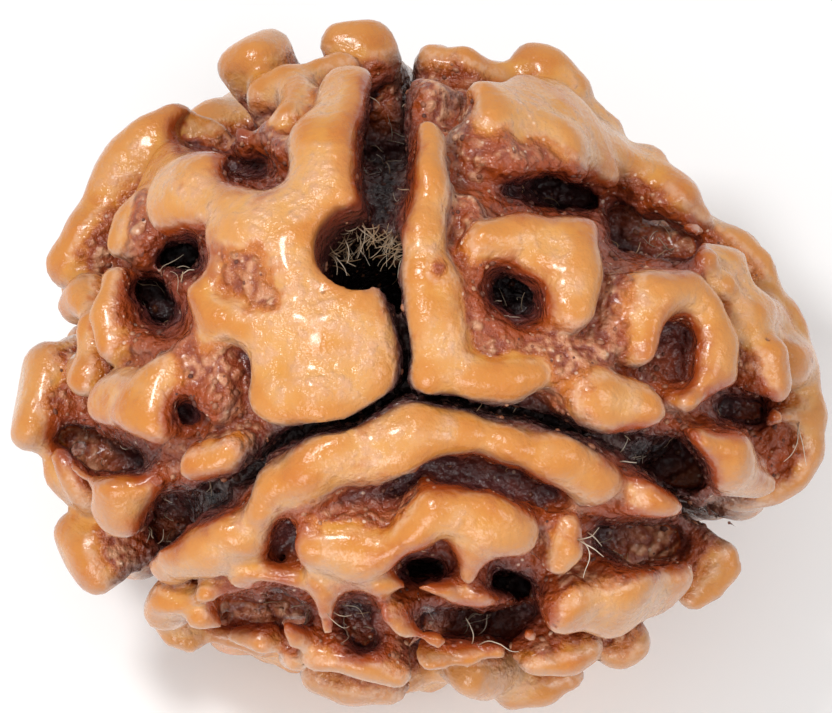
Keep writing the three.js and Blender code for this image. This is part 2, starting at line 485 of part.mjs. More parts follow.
// A knob of the rim stands up to where its drawn edge is
function rimKnob([, points]) {
  const stations = points.map(([u, v, width]) => [rimDirection(u, v, RIM_FACING), width]);
  const crests = points.map(([u, v, width], i) => Math.hypot(u, v) + width - floorRadius(stations[i][0]));
  const crest = crests.reduce((a, b) => a + b) / crests.length;
  return new Run(crest, RIDGE_BLEND, stations);
}

const mounds = drawn(MOUNDS, MOUND_BLEND, false);
const ridges = [...drawn(RIDGES, RIDGE_BLEND, true), ...RIM_KNOBS.map(rimKnob)];
const notches = NOTCHES.map(([, level, points]) => new Run(
  level,
  PIT_BLEND,
  points.map(([u, v, width]) => [rimDirection(u, v, NOTCH_FACING), width]),
));

// Where a point of the seed is seen on the drawing plane, and how far before the plane it is
function onDrawing(p) {
  const before = p.dot(toViewer);
  const magnified = SIGHT_DISTANCE / (SIGHT_DISTANCE - before);
  return { u: p.dot(across) * magnified, v: p.dot(up) * magnified, before };
}

// Distance on the drawing plane from a point to the edge of a sunken place
function sinkGap(points, u, v, flare) {
  let nearest = Infinity;
  points.forEach(([au, av, aw], i) => {
    const [bu, bv, bw] = points[Math.min(i + 1, points.length - 1)];
    const lengthSq = Math.max(1e-9, (bu - au) ** 2 + (bv - av) ** 2);
    const t = THREE.MathUtils.clamp(((u - au) * (bu - au) + (v - av) * (bv - av)) / lengthSq, 0, 1);
    const gap = Math.hypot(u - au - t * (bu - au), v - av - t * (bv - av));
    nearest = Math.min(nearest, gap - THREE.MathUtils.lerp(aw, bw, t) * flare);
  });
  return nearest;
}

const draw = new Draw(GROWTH_SEED);

// How high a grown crest may be before it passes the outline or the feet's plane
function crestRoom(direction) {
  const floor = floorRadius(direction);
  const sideways = Math.hypot(direction.dot(across), direction.dot(up));
  const toOutline = outlineReach(direction) / sideways - floor - OUTLINE_CLEARANCE;
  const toFeet = direction.z < 0 ? (FOOT_LEVEL + FOOT_CLEARANCE) / direction.z - floor : Infinity;
  return Math.min(toOutline, toFeet);
}

// Each cleft runs on round the seed to the lower pole, with broken lips along it
const clefts = [];
const lips = [];
for (const path of CLEFTS) {
  const stations = path.map(([u, v]) => directionOf(u, v, 1.0));
  const start = stations[stations.length - 1];
  const arc = Math.acos(start.dot(LOWER_POLE));
  const count = Math.max(2, Math.floor((arc * GROWTH_RADIUS) / CLEFT_STEP));
  const sideways = new THREE.Vector3().crossVectors(start, LOWER_POLE).normalize();
  for (let i = 1; i <= count; i += 1) {
    const t = i / count;
    const wobble = (draw.next() - 0.5) * CLEFT_WOBBLE * Math.sin(Math.PI * t);
    const direction = new THREE.Vector3()
      .addScaledVector(start, Math.sin((1 - t) * arc) / Math.sin(arc))
      .addScaledVector(LOWER_POLE, Math.sin(t * arc) / Math.sin(arc))
      .addScaledVector(sideways, wobble)
      .normalize();
    stations.push(direction);
  }
  clefts.push(stations);
  for (const side of [-1, 1]) {
    const lip = [];
    for (let i = path.length + LIP_START; i < stations.length - 1; i += 1) {
      const along = stations[i + 1].clone().sub(stations[i - 1]);
      const away = along.cross(stations[i]).normalize();
      const offset = draw.size(LIP_OFFSET) / GROWTH_RADIUS;
      const width = draw.size(LIP_HALF_WIDTH);
      lip.push([stations[i].clone().addScaledVector(away, side * offset).normalize(), width]);
    }
    let i = 0;
    while (i < lip.length - 1) {
      const length = 2 + Math.floor(draw.next() * 3);
      const piece = lip.slice(i, i + length + 1);
      if (piece.length >= 2) {
        const crest = Math.min(draw.size(LIP_CREST), ...piece.map(([direction]) => crestRoom(direction)));
        lips.push(new Run(crest, RIDGE_BLEND, piece));
      }
      i += length + (draw.next() > 1 - LIP_GAP_CHANCE ? 1 : 0);
    }
  }
}

const nearCleft = (p, margin) => clefts.some((stations) => {
  const run = new Run(0, 0, stations.map((direction) => [direction, 0]));
  for (let i = 0; i + 1 < run.points.length; i += 1) {
    if (distanceTo(run, i, p).gap < margin) return true;
  }
  return false;
});

function nearSink(direction, width) {
  const { u, v, before } = onDrawing(direction.clone().multiplyScalar(floorRadius(direction) + 1));
  return before > SINK_FARTHEST && PITS.some(([, , points]) => sinkGap(points, u, v, 1) < width);
}

// Knobs on an even, jittered lattice wherever nothing is drawn
const latticeCount = Math.floor((4 * Math.PI * GROWTH_RADIUS ** 2) / (GROWTH_SPACING ** 2 * 0.866));
const goldenAngle = Math.PI * (3 - Math.sqrt(5));
const knobs = [];
for (let i = 0; i < latticeCount; i += 1) {
  const height = 1 - (2 * i + 1) / latticeCount;
  const ring = Math.sqrt(1 - height * height);
  const turn = i * goldenAngle;
  const direction = new THREE.Vector3(ring * Math.cos(turn), ring * Math.sin(turn), height);
  const jitter = new THREE.Vector3(draw.next() - 0.5, draw.next() - 0.5, draw.next() - 0.5);
  const width = draw.size(KNOB_HALF_WIDTH);
  const fullCrest = draw.size(KNOB_CREST);
  direction.addScaledVector(jitter, GROWTH_JITTER).normalize();
  const p = middlePoint(direction);
  const taken = direction.dot(toViewer) > DRAWN_SIDE
    || nearAnyRun(ridges, p, width * 0.6 - 0.15)
    || nearAnyRun(mounds, p, width * 0.6 - 0.15)
    || nearAnyRun(notches, p, width + 0.1)
    || nearSink(direction, width)
    || nearAnyRun(lips, p, width * 0.5 + 0.05)
    || nearCleft(p, width + 0.15);
  if (!taken) {
    const crest = Math.max(LOWEST_CREST, Math.min(fullCrest, crestRoom(direction)));
    knobs.push({ direction, width, crest, p });
  }
}

// Neighbouring knobs are joined by bent, narrower ridges, which closes the net
const grown = [];
knobs.forEach((knob, i) => {
  const neighbours = knobs
    .map((other, j) => ({ j, length: knob.p.distanceTo(other.p) }))
    .filter(({ j }) => j !== i)
    .sort((a, b) => a.length - b.length)
    .slice(0, LINK_NEIGHBOURS);
  for (const { j, length } of neighbours) {
    if (j > i && length <= LINK_REACH && draw.next() <= LINK_SHARE) {
      const other = knobs[j];
      const bend = knob.direction.clone().add(other.direction).normalize();
      const sideways = other.direction.clone().sub(knob.direction);
      sideways.crossVectors(bend, sideways).normalize();
      bend.addScaledVector(sideways, (draw.next() - 0.5) * LINK_WOBBLE).normalize();
      const waist = Math.min(knob.width, other.width) * draw.size(LINK_WAIST);
      const crest = Math.min(knob.crest, other.crest) - draw.size(LINK_DROP);
      if (!nearAnyRun(ridges, middlePoint(bend), waist - 0.25)) {
        grown.push(new Run(crest, RIDGE_BLEND, [
          [knob.direction, knob.width * LINK_END],
          [bend, waist],
          [other.direction, other.width * LINK_END],
        ]));
      }
    }
  }
  const turn = draw.next() * 2 * Math.PI;
  const sideA = new THREE.Vector3(0.3, 0.2, 0.9);
  sideA.crossVectors(knob.direction, sideA).normalize();
  const sideB = new THREE.Vector3().crossVectors(knob.direction, sideA);
  const length = draw.size(KNOB_LENGTH);
  const end = knob.direction.clone()
    .addScaledVector(sideA, Math.cos(turn) * length)
    .addScaledVector(sideB, Math.sin(turn) * length)
    .normalize();
  grown.push(new Run(knob.crest, RIDGE_BLEND, [[knob.direction, knob.width], [end, knob.width * KNOB_END]]));
});

const feet = FEET.map(([turn, distance]) => {
  const angle = THREE.MathUtils.degToRad(turn);
  const heel = new THREE.Vector3(distance * Math.cos(angle), distance * Math.sin(angle), -HEEL_DEPTH);
  const toe = new THREE.Vector3(
    (distance + FOOT_LENGTH) * Math.cos(angle + FOOT_TURN),
    (distance + FOOT_LENGTH) * Math.sin(angle + FOOT_TURN),
    -TOE_DEPTH,
  );
  return new Run(FOOT_CREST, RIDGE_BLEND, [
    [heel.normalize(), FOOT_HALF_WIDTH],
    [toe.normalize(), FOOT_TOE_HALF_WIDTH],
  ]);
});

const raised = [...mounds, ...ridges, ...lips, ...grown, ...feet];

// The lower of two levels, blended where they are close
function blendedMin(a, b, k) {
  const h = Math.max(k - Math.abs(a - b), 0) / k;
  return Math.min(a, b) - h * h * k * 0.25;
}

// A ridge's wall with a waist, rounded edges and a slightly sagging crest
function wall(crest, gap, width, level) {
  const rounding = Math.min(width, EDGE_ROUNDING);
  const below = THREE.MathUtils.clamp((crest - level) / Math.max(crest, 0.2), 0, 1);
  const halfWidth = width * (1 - WAIST * below);
  const top = crest - CREST_SAG * (gap / halfWidth) ** 2;
  const outside = Math.hypot(Math.max(0, gap - halfWidth + rounding), Math.max(0, level - top + rounding));
  return outside - rounding;
}

// Below nought inside the seed, above nought outside, and about the distance in mm between
function fieldAt(point) {
  const radius = point.length();
  const direction = point.clone().divideScalar(radius);
  const floor = floorRadius(direction);
  const level = radius - floor;
  if (level > RELIEF_TOP || level < RELIEF_BOTTOM) return level;
  const base = direction.multiplyScalar(floor + MIDDLE_LEVEL);
  const sway = swing(base);
  const p = base.add(drift(base));
  let value = level;
  for (const [runs, raises] of [[raised, true], [notches, false]]) {
    for (const run of runs) {
      if (run.ball.distanceToPoint(p) > run.reach) continue;
      for (let i = 0; i + 1 < run.points.length; i += 1) {
        const { gap, width } = distanceTo(run, i, p);
        if (gap > run.reach) continue;
        const swayed = width * (1 + WIDTH_SWING * sway);
        if (raises) {
          value = blendedMin(value, wall(run.height + HEIGHT_SWING * sway, gap, swayed, level), run.blend);
        } else {
          const flare = 1 + NOTCH_FLARE * THREE.MathUtils.clamp(level, 0, 1.5);
          value = -blendedMin(-value, Math.max(gap - swayed * flare, run.height - level), run.blend);
        }
      }
    }
  }
  const { u, v, before } = onDrawing(point);
  if (before < SINK_FARTHEST - SINK_BLEND) return value;
  const flare = 1 + SINK_FLARE * THREE.MathUtils.clamp(level, 0, 1.5);
  for (const [, bottom, points] of PITS) {
    const hole = Math.max(sinkGap(points, u, v, flare), bottom - level, SINK_FARTHEST - before);
    value = -blendedMin(-value, hole, SINK_BLEND);
  }
  return value;
}

// The surface where the field is nought, as triangles across the four-cornered cells into
// which each cube of an even grid falls
function surfaceGeometry() {
  const counts = GRID_HALF_SIZE.map((half) => 2 * Math.ceil(half / GRID_STEP) + 1);
  const [nx, ny, nz] = counts;
  const low = counts.map((n) => -(n - 1) / 2 * GRID_STEP);
  const place = (index, target) => target.set(
    low[0] + (index % nx) * GRID_STEP,
    low[1] + (Math.floor(index / nx) % ny) * GRID_STEP,
    low[2] + Math.floor(index / (nx * ny)) * GRID_STEP,
  );
  const values = new Float32Array(nx * ny * nz);
  const point = new THREE.Vector3();
  for (let i = 0; i < values.length; i += 1) values[i] = fieldAt(place(i, point).addScalar(MIDDLE_NUDGE));
  const positions = [];
  const index = [];
  const known = new Map();
  const from = new THREE.Vector3();
  const to = new THREE.Vector3();

  // The point of the surface on the edge between two grid points
  const crossing = (a, b) => {
    const key = Math.min(a, b) * values.length + Math.max(a, b);
    if (!known.has(key)) {
      const share = THREE.MathUtils.clamp(values[a] / (values[a] - values[b]), EDGE_MARGIN, 1 - EDGE_MARGIN);
      place(a, from).lerp(place(b, to), share);
      known.set(key, positions.length / 3);
      positions.push(from.x, from.y, from.z);
    }
    return known.get(key);
  };
  const outward = new THREE.Vector3();
  const corners = [new THREE.Vector3(), new THREE.Vector3(), new THREE.Vector3()];
  const triangle = (...ids) => {
    corners.forEach((corner, k) => corner.fromArray(positions, 3 * ids[k]));
    const [a, b, c] = corners;
    const facing = b.sub(a).cross(c.sub(a)).dot(outward);
    index.push(ids[0], ...(facing > 0 ? [ids[1], ids[2]] : [ids[2], ids[1]]));
  };
  const cell = (ids) => {
    const inside = ids.filter((id) => values[id] < 0);
    const outside = ids.filter((id) => values[id] >= 0);
    if (!inside.length || !outside.length) return;
    outward.set(0, 0, 0);
    for (const id of outside) outward.addScaledVector(place(id, from), 1 / outside.length);
    for (const id of inside) outward.addScaledVector(place(id, from), -1 / inside.length);
    if (inside.length === 2) {
      const [a, b] = inside;
      const [c, d] = outside;
      const ring = [crossing(a, c), crossing(a, d), crossing(b, d), crossing(b, c)];
      triangle(ring[0], ring[1], ring[2]);
      triangle(ring[0], ring[2], ring[3]);
    } else {
      const alone = inside.length === 1 ? inside[0] : outside[0];
      const rest = inside.length === 1 ? outside : inside;
      triangle(...rest.map((id) => crossing(alone, id)));
    }
  };
  const steps = [1, nx, nx * ny];
  const orders = [[0, 1, 2], [0, 2, 1], [1, 0, 2], [1, 2, 0], [2, 0, 1], [2, 1, 0]];
  const farCorner = steps[0] + steps[1] + steps[2];
  for (let z = 0; z + 1 < nz; z += 1) {
    for (let y = 0; y + 1 < ny; y += 1) {
      for (let x = 0; x + 1 < nx; x += 1) {
        const first = x + y * steps[1] + z * steps[2];
        for (const [a, b] of orders) {
          cell([first, first + steps[a], first + steps[a] + steps[b], first + farCorner]);
        }
      }
    }
  }
  const geometry = new THREE.BufferGeometry();
  geometry.setAttribute('position', new THREE.Float32BufferAttribute(positions, 3));
  geometry.setIndex(index);
  return geometry;
}

// A closed mesh with only its positions, as a solid for cutting
function toSolid(geometry) {
  const bare = geometry.clone();
  bare.deleteAttribute('normal');
  bare.deleteAttribute('uv');
  const merged = mergeVertices(bare, 1e-5);
  return new wasm.Manifold(new wasm.Mesh({
    numProp: 3,
    vertProperties: new Float32Array(merged.getAttribute('position').array),
    triVerts: new Uint32Array(merged.getIndex().array),
  }));
}

function toGeometry(solid) {
  const { vertProperties, triVerts } = solid.getMesh();
  const geometry = new THREE.BufferGeometry();
  geometry.setAttribute('position', new THREE.BufferAttribute(new Float32Array(vertProperties), 3));
  geometry.setIndex(new THREE.BufferAttribute(new Uint32Array(triVerts), 1));
  geometry.computeVertexNormals();
  return geometry;
}

// A thin ribbon standing on a cleft's line, from its bottom to above the crests
function cleftBlade(stations) {
  const positions = [];
  stations.forEach((station, i) => {
    const before = stations[Math.max(0, i - 1)];
    const after = stations[Math.min(stations.length - 1, i + 1)];
    const side = after.clone().sub(before).cross(station).normalize();
    const half = CLEFT_HALF_WIDTH + CLEFT_WIDENING * Math.min(i, 9);
    const floor = floorRadius(station);
    for (const [level, sign] of [
      [CLEFT_DEPTH_LEVEL, -1],
      [CLEFT_DEPTH_LEVEL, 1],
      [CLEFT_TOP_LEVEL, 1],
      [CLEFT_TOP_LEVEL, -1],
    ]) {
      const p = station.clone().multiplyScalar(floor + level).addScaledVector(side, sign * half);
      positions.push(p.x, p.y, p.z);
    }
  });
  const index = [];
  const quad = (a, b, c, d) => index.push(a, c, b, a, d, c);
  for (let i = 0; i + 1 < stations.length; i += 1) {
    for (let corner = 0; corner < 4; corner += 1) {
      const next = (corner + 1) % 4;
      quad(4 * i + corner, 4 * i + next, 4 * i + 4 + next, 4 * i + 4 + corner);
    }
  }
  const last = 4 * (stations.length - 1);
  quad(3, 2, 1, 0);
  quad(last, last + 1, last + 2, last + 3);
  const geometry = new THREE.BufferGeometry();
  geometry.setAttribute('position', new THREE.BufferAttribute(new Float32Array(positions), 3));
  geometry.setIndex(index);
  return geometry;
}

function boreGeometry() {
  const geometry = new THREE.CylinderGeometry(BORE_RADIUS, BORE_RADIUS, BORE_LENGTH, BORE_SIDES);
  geometry.rotateX(Math.PI / 2);
  geometry.rotateY(THREE.MathUtils.degToRad(-BORE_LEAN));
  return geometry;
}

// Everything below the feet's plane
function underfootGeometry() {
  const geometry = new THREE.BoxGeometry(4 * GRID_HALF_SIZE[0], 4 * GRID_HALF_SIZE[1], UNDERFOOT_DEPTH);
  geometry.translate(0, 0, FOOT_LEVEL - UNDERFOOT_DEPTH / 2);
  return geometry;
}

// Where two walls only touch, each is drawn back a little towards the points next to it
function partTouchingWalls(geometry) {
  const position = geometry.getAttribute('position');
  const index = geometry.getIndex().array;
  const places = new Map();
  for (let i = 0; i < position.count; i += 1) {
    const place = [position.getX(i), position.getY(i), position.getZ(i)].map((c) => c.toFixed(3)).join();
    places.set(place, [...(places.get(place) ?? []), i]);
  }
  const touching = new Set([...places.values()].filter((ids) => ids.length > 1).flat());
  const sums = new Map([...touching].map((id) => [id, { sum: new THREE.Vector3(), count: 0 }]));
  const point = new THREE.Vector3();
  for (let i = 0; i < index.length; i += 1) {
    const entry = sums.get(index[i]);
    if (!entry) continue;
    const first = i - (i % 3);
    for (const id of [index[first + ((i + 1) % 3)], index[first + ((i + 2) % 3)]]) {
      entry.sum.add(point.fromBufferAttribute(position, id));
      entry.count += 1;
    }
  }
  for (const [id, { sum, count }] of sums) {
    point.fromBufferAttribute(position, id).lerp(sum.divideScalar(count), TOUCHING_RETREAT);
    position.setXYZ(id, point.x, point.y, point.z);
  }
  geometry.computeVertexNormals();
  return geometry;
}

let solid = toSolid(surfaceGeometry()).subtract(toSolid(underfootGeometry()));
for (const stations of clefts) solid = solid.subtract(toSolid(cleftBlade(stations)));
solid = solid.subtract(toSolid(boreGeometry()));

// The cuts free a few crumbs, which would fall out of the real seed
solid = solid.decompose().reduce((a, b) => (a.volume() > b.volume() ? a : b));

// The finely cut surface is thinned where it is smooth, so the walls and edges stay crisp
const fine = toGeometry(solid);
fine.deleteAttribute('normal');
const surplus = Math.round((fine.getIndex().count / 3 - FACETS) / 2);
const thinned = await new SimplifyModifier().modify(fine, surplus);
const body = toSolid(thinned).decompose().reduce((a, b) => (a.volume() > b.volume() ? a : b));

const seed = new THREE.Mesh(
  partTouchingWalls(toGeometry(body)),
  new THREE.MeshStandardMaterial({ color: COLOUR, roughness: 0.45, metalness: 0 }),
);
seed.name = 'seed';

// The seed stands on its feet with the middle of its plan over the origin
seed.geometry.computeBoundingBox();
const box = seed.geometry.boundingBox;
seed.position.set(-(box.min.x + box.max.x) / 2, -(box.min.y + box.max.y) / 2, -box.min.z);

const group = new THREE.Group();
group.add(seed);

export default group;
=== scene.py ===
"""The look of a rudraksha seed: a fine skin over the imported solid, with crumbs and fibres on it.

All sizes are in millimetres in the seed's own frame, whose origin is the middle of the body. Each mesh is
carried to metres and to the part's frame when it is made. The drawing plane is the plane through the middle
of the body, square to the line of sight: u runs to the right and v runs up.
"""
import logging
import math
from collections.abc import Iterable, Sequence
from dataclasses import dataclass, field
from enum import Enum
from typing import Any, TypeAlias

import bpy
import numpy as np
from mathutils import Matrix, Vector


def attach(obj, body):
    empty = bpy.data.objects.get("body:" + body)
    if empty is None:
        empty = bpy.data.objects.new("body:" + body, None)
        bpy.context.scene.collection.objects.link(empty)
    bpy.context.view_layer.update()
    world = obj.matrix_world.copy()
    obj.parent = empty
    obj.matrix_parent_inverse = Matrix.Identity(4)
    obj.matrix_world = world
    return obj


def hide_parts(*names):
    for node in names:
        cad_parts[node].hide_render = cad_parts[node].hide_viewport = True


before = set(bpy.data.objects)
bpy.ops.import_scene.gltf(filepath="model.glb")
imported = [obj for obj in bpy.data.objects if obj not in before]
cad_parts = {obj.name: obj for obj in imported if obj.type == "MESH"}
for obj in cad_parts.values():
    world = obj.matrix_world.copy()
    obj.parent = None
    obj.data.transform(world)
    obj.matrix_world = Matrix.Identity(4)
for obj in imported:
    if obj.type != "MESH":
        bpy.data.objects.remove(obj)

LOG = logging.getLogger("rudraksha")

Array: TypeAlias = np.ndarray
Station: TypeAlias = tuple[float, float, float]
Trace: TypeAlias = list[Station]
Level: TypeAlias = tuple[str, float, Trace]
Colour: TypeAlias = tuple[float, float, float]
Value: TypeAlias = Any

METRES = 0.001
FULL_STEP = 0.145
BODY_MIDDLE = np.array([-0.11389, 0.33693, 7.75])
SIGHT_HEIGHT = math.radians(70)
EYE_DISTANCE = 250.0
RIGHT = np.array([1.0, 0.0, 0.0])
UP = np.array([0.0, math.sin(SIGHT_HEIGHT), math.cos(SIGHT_HEIGHT)])
TOWARDS = np.array([0.0, -math.cos(SIGHT_HEIGHT), math.sin(SIGHT_HEIGHT)])
# Least squared length that a sum divides by
TINY = 1e-9
# Sinks are cut only where the seed lies at least this far from the drawing plane towards the eye
SINK_DEPTH = 1.2

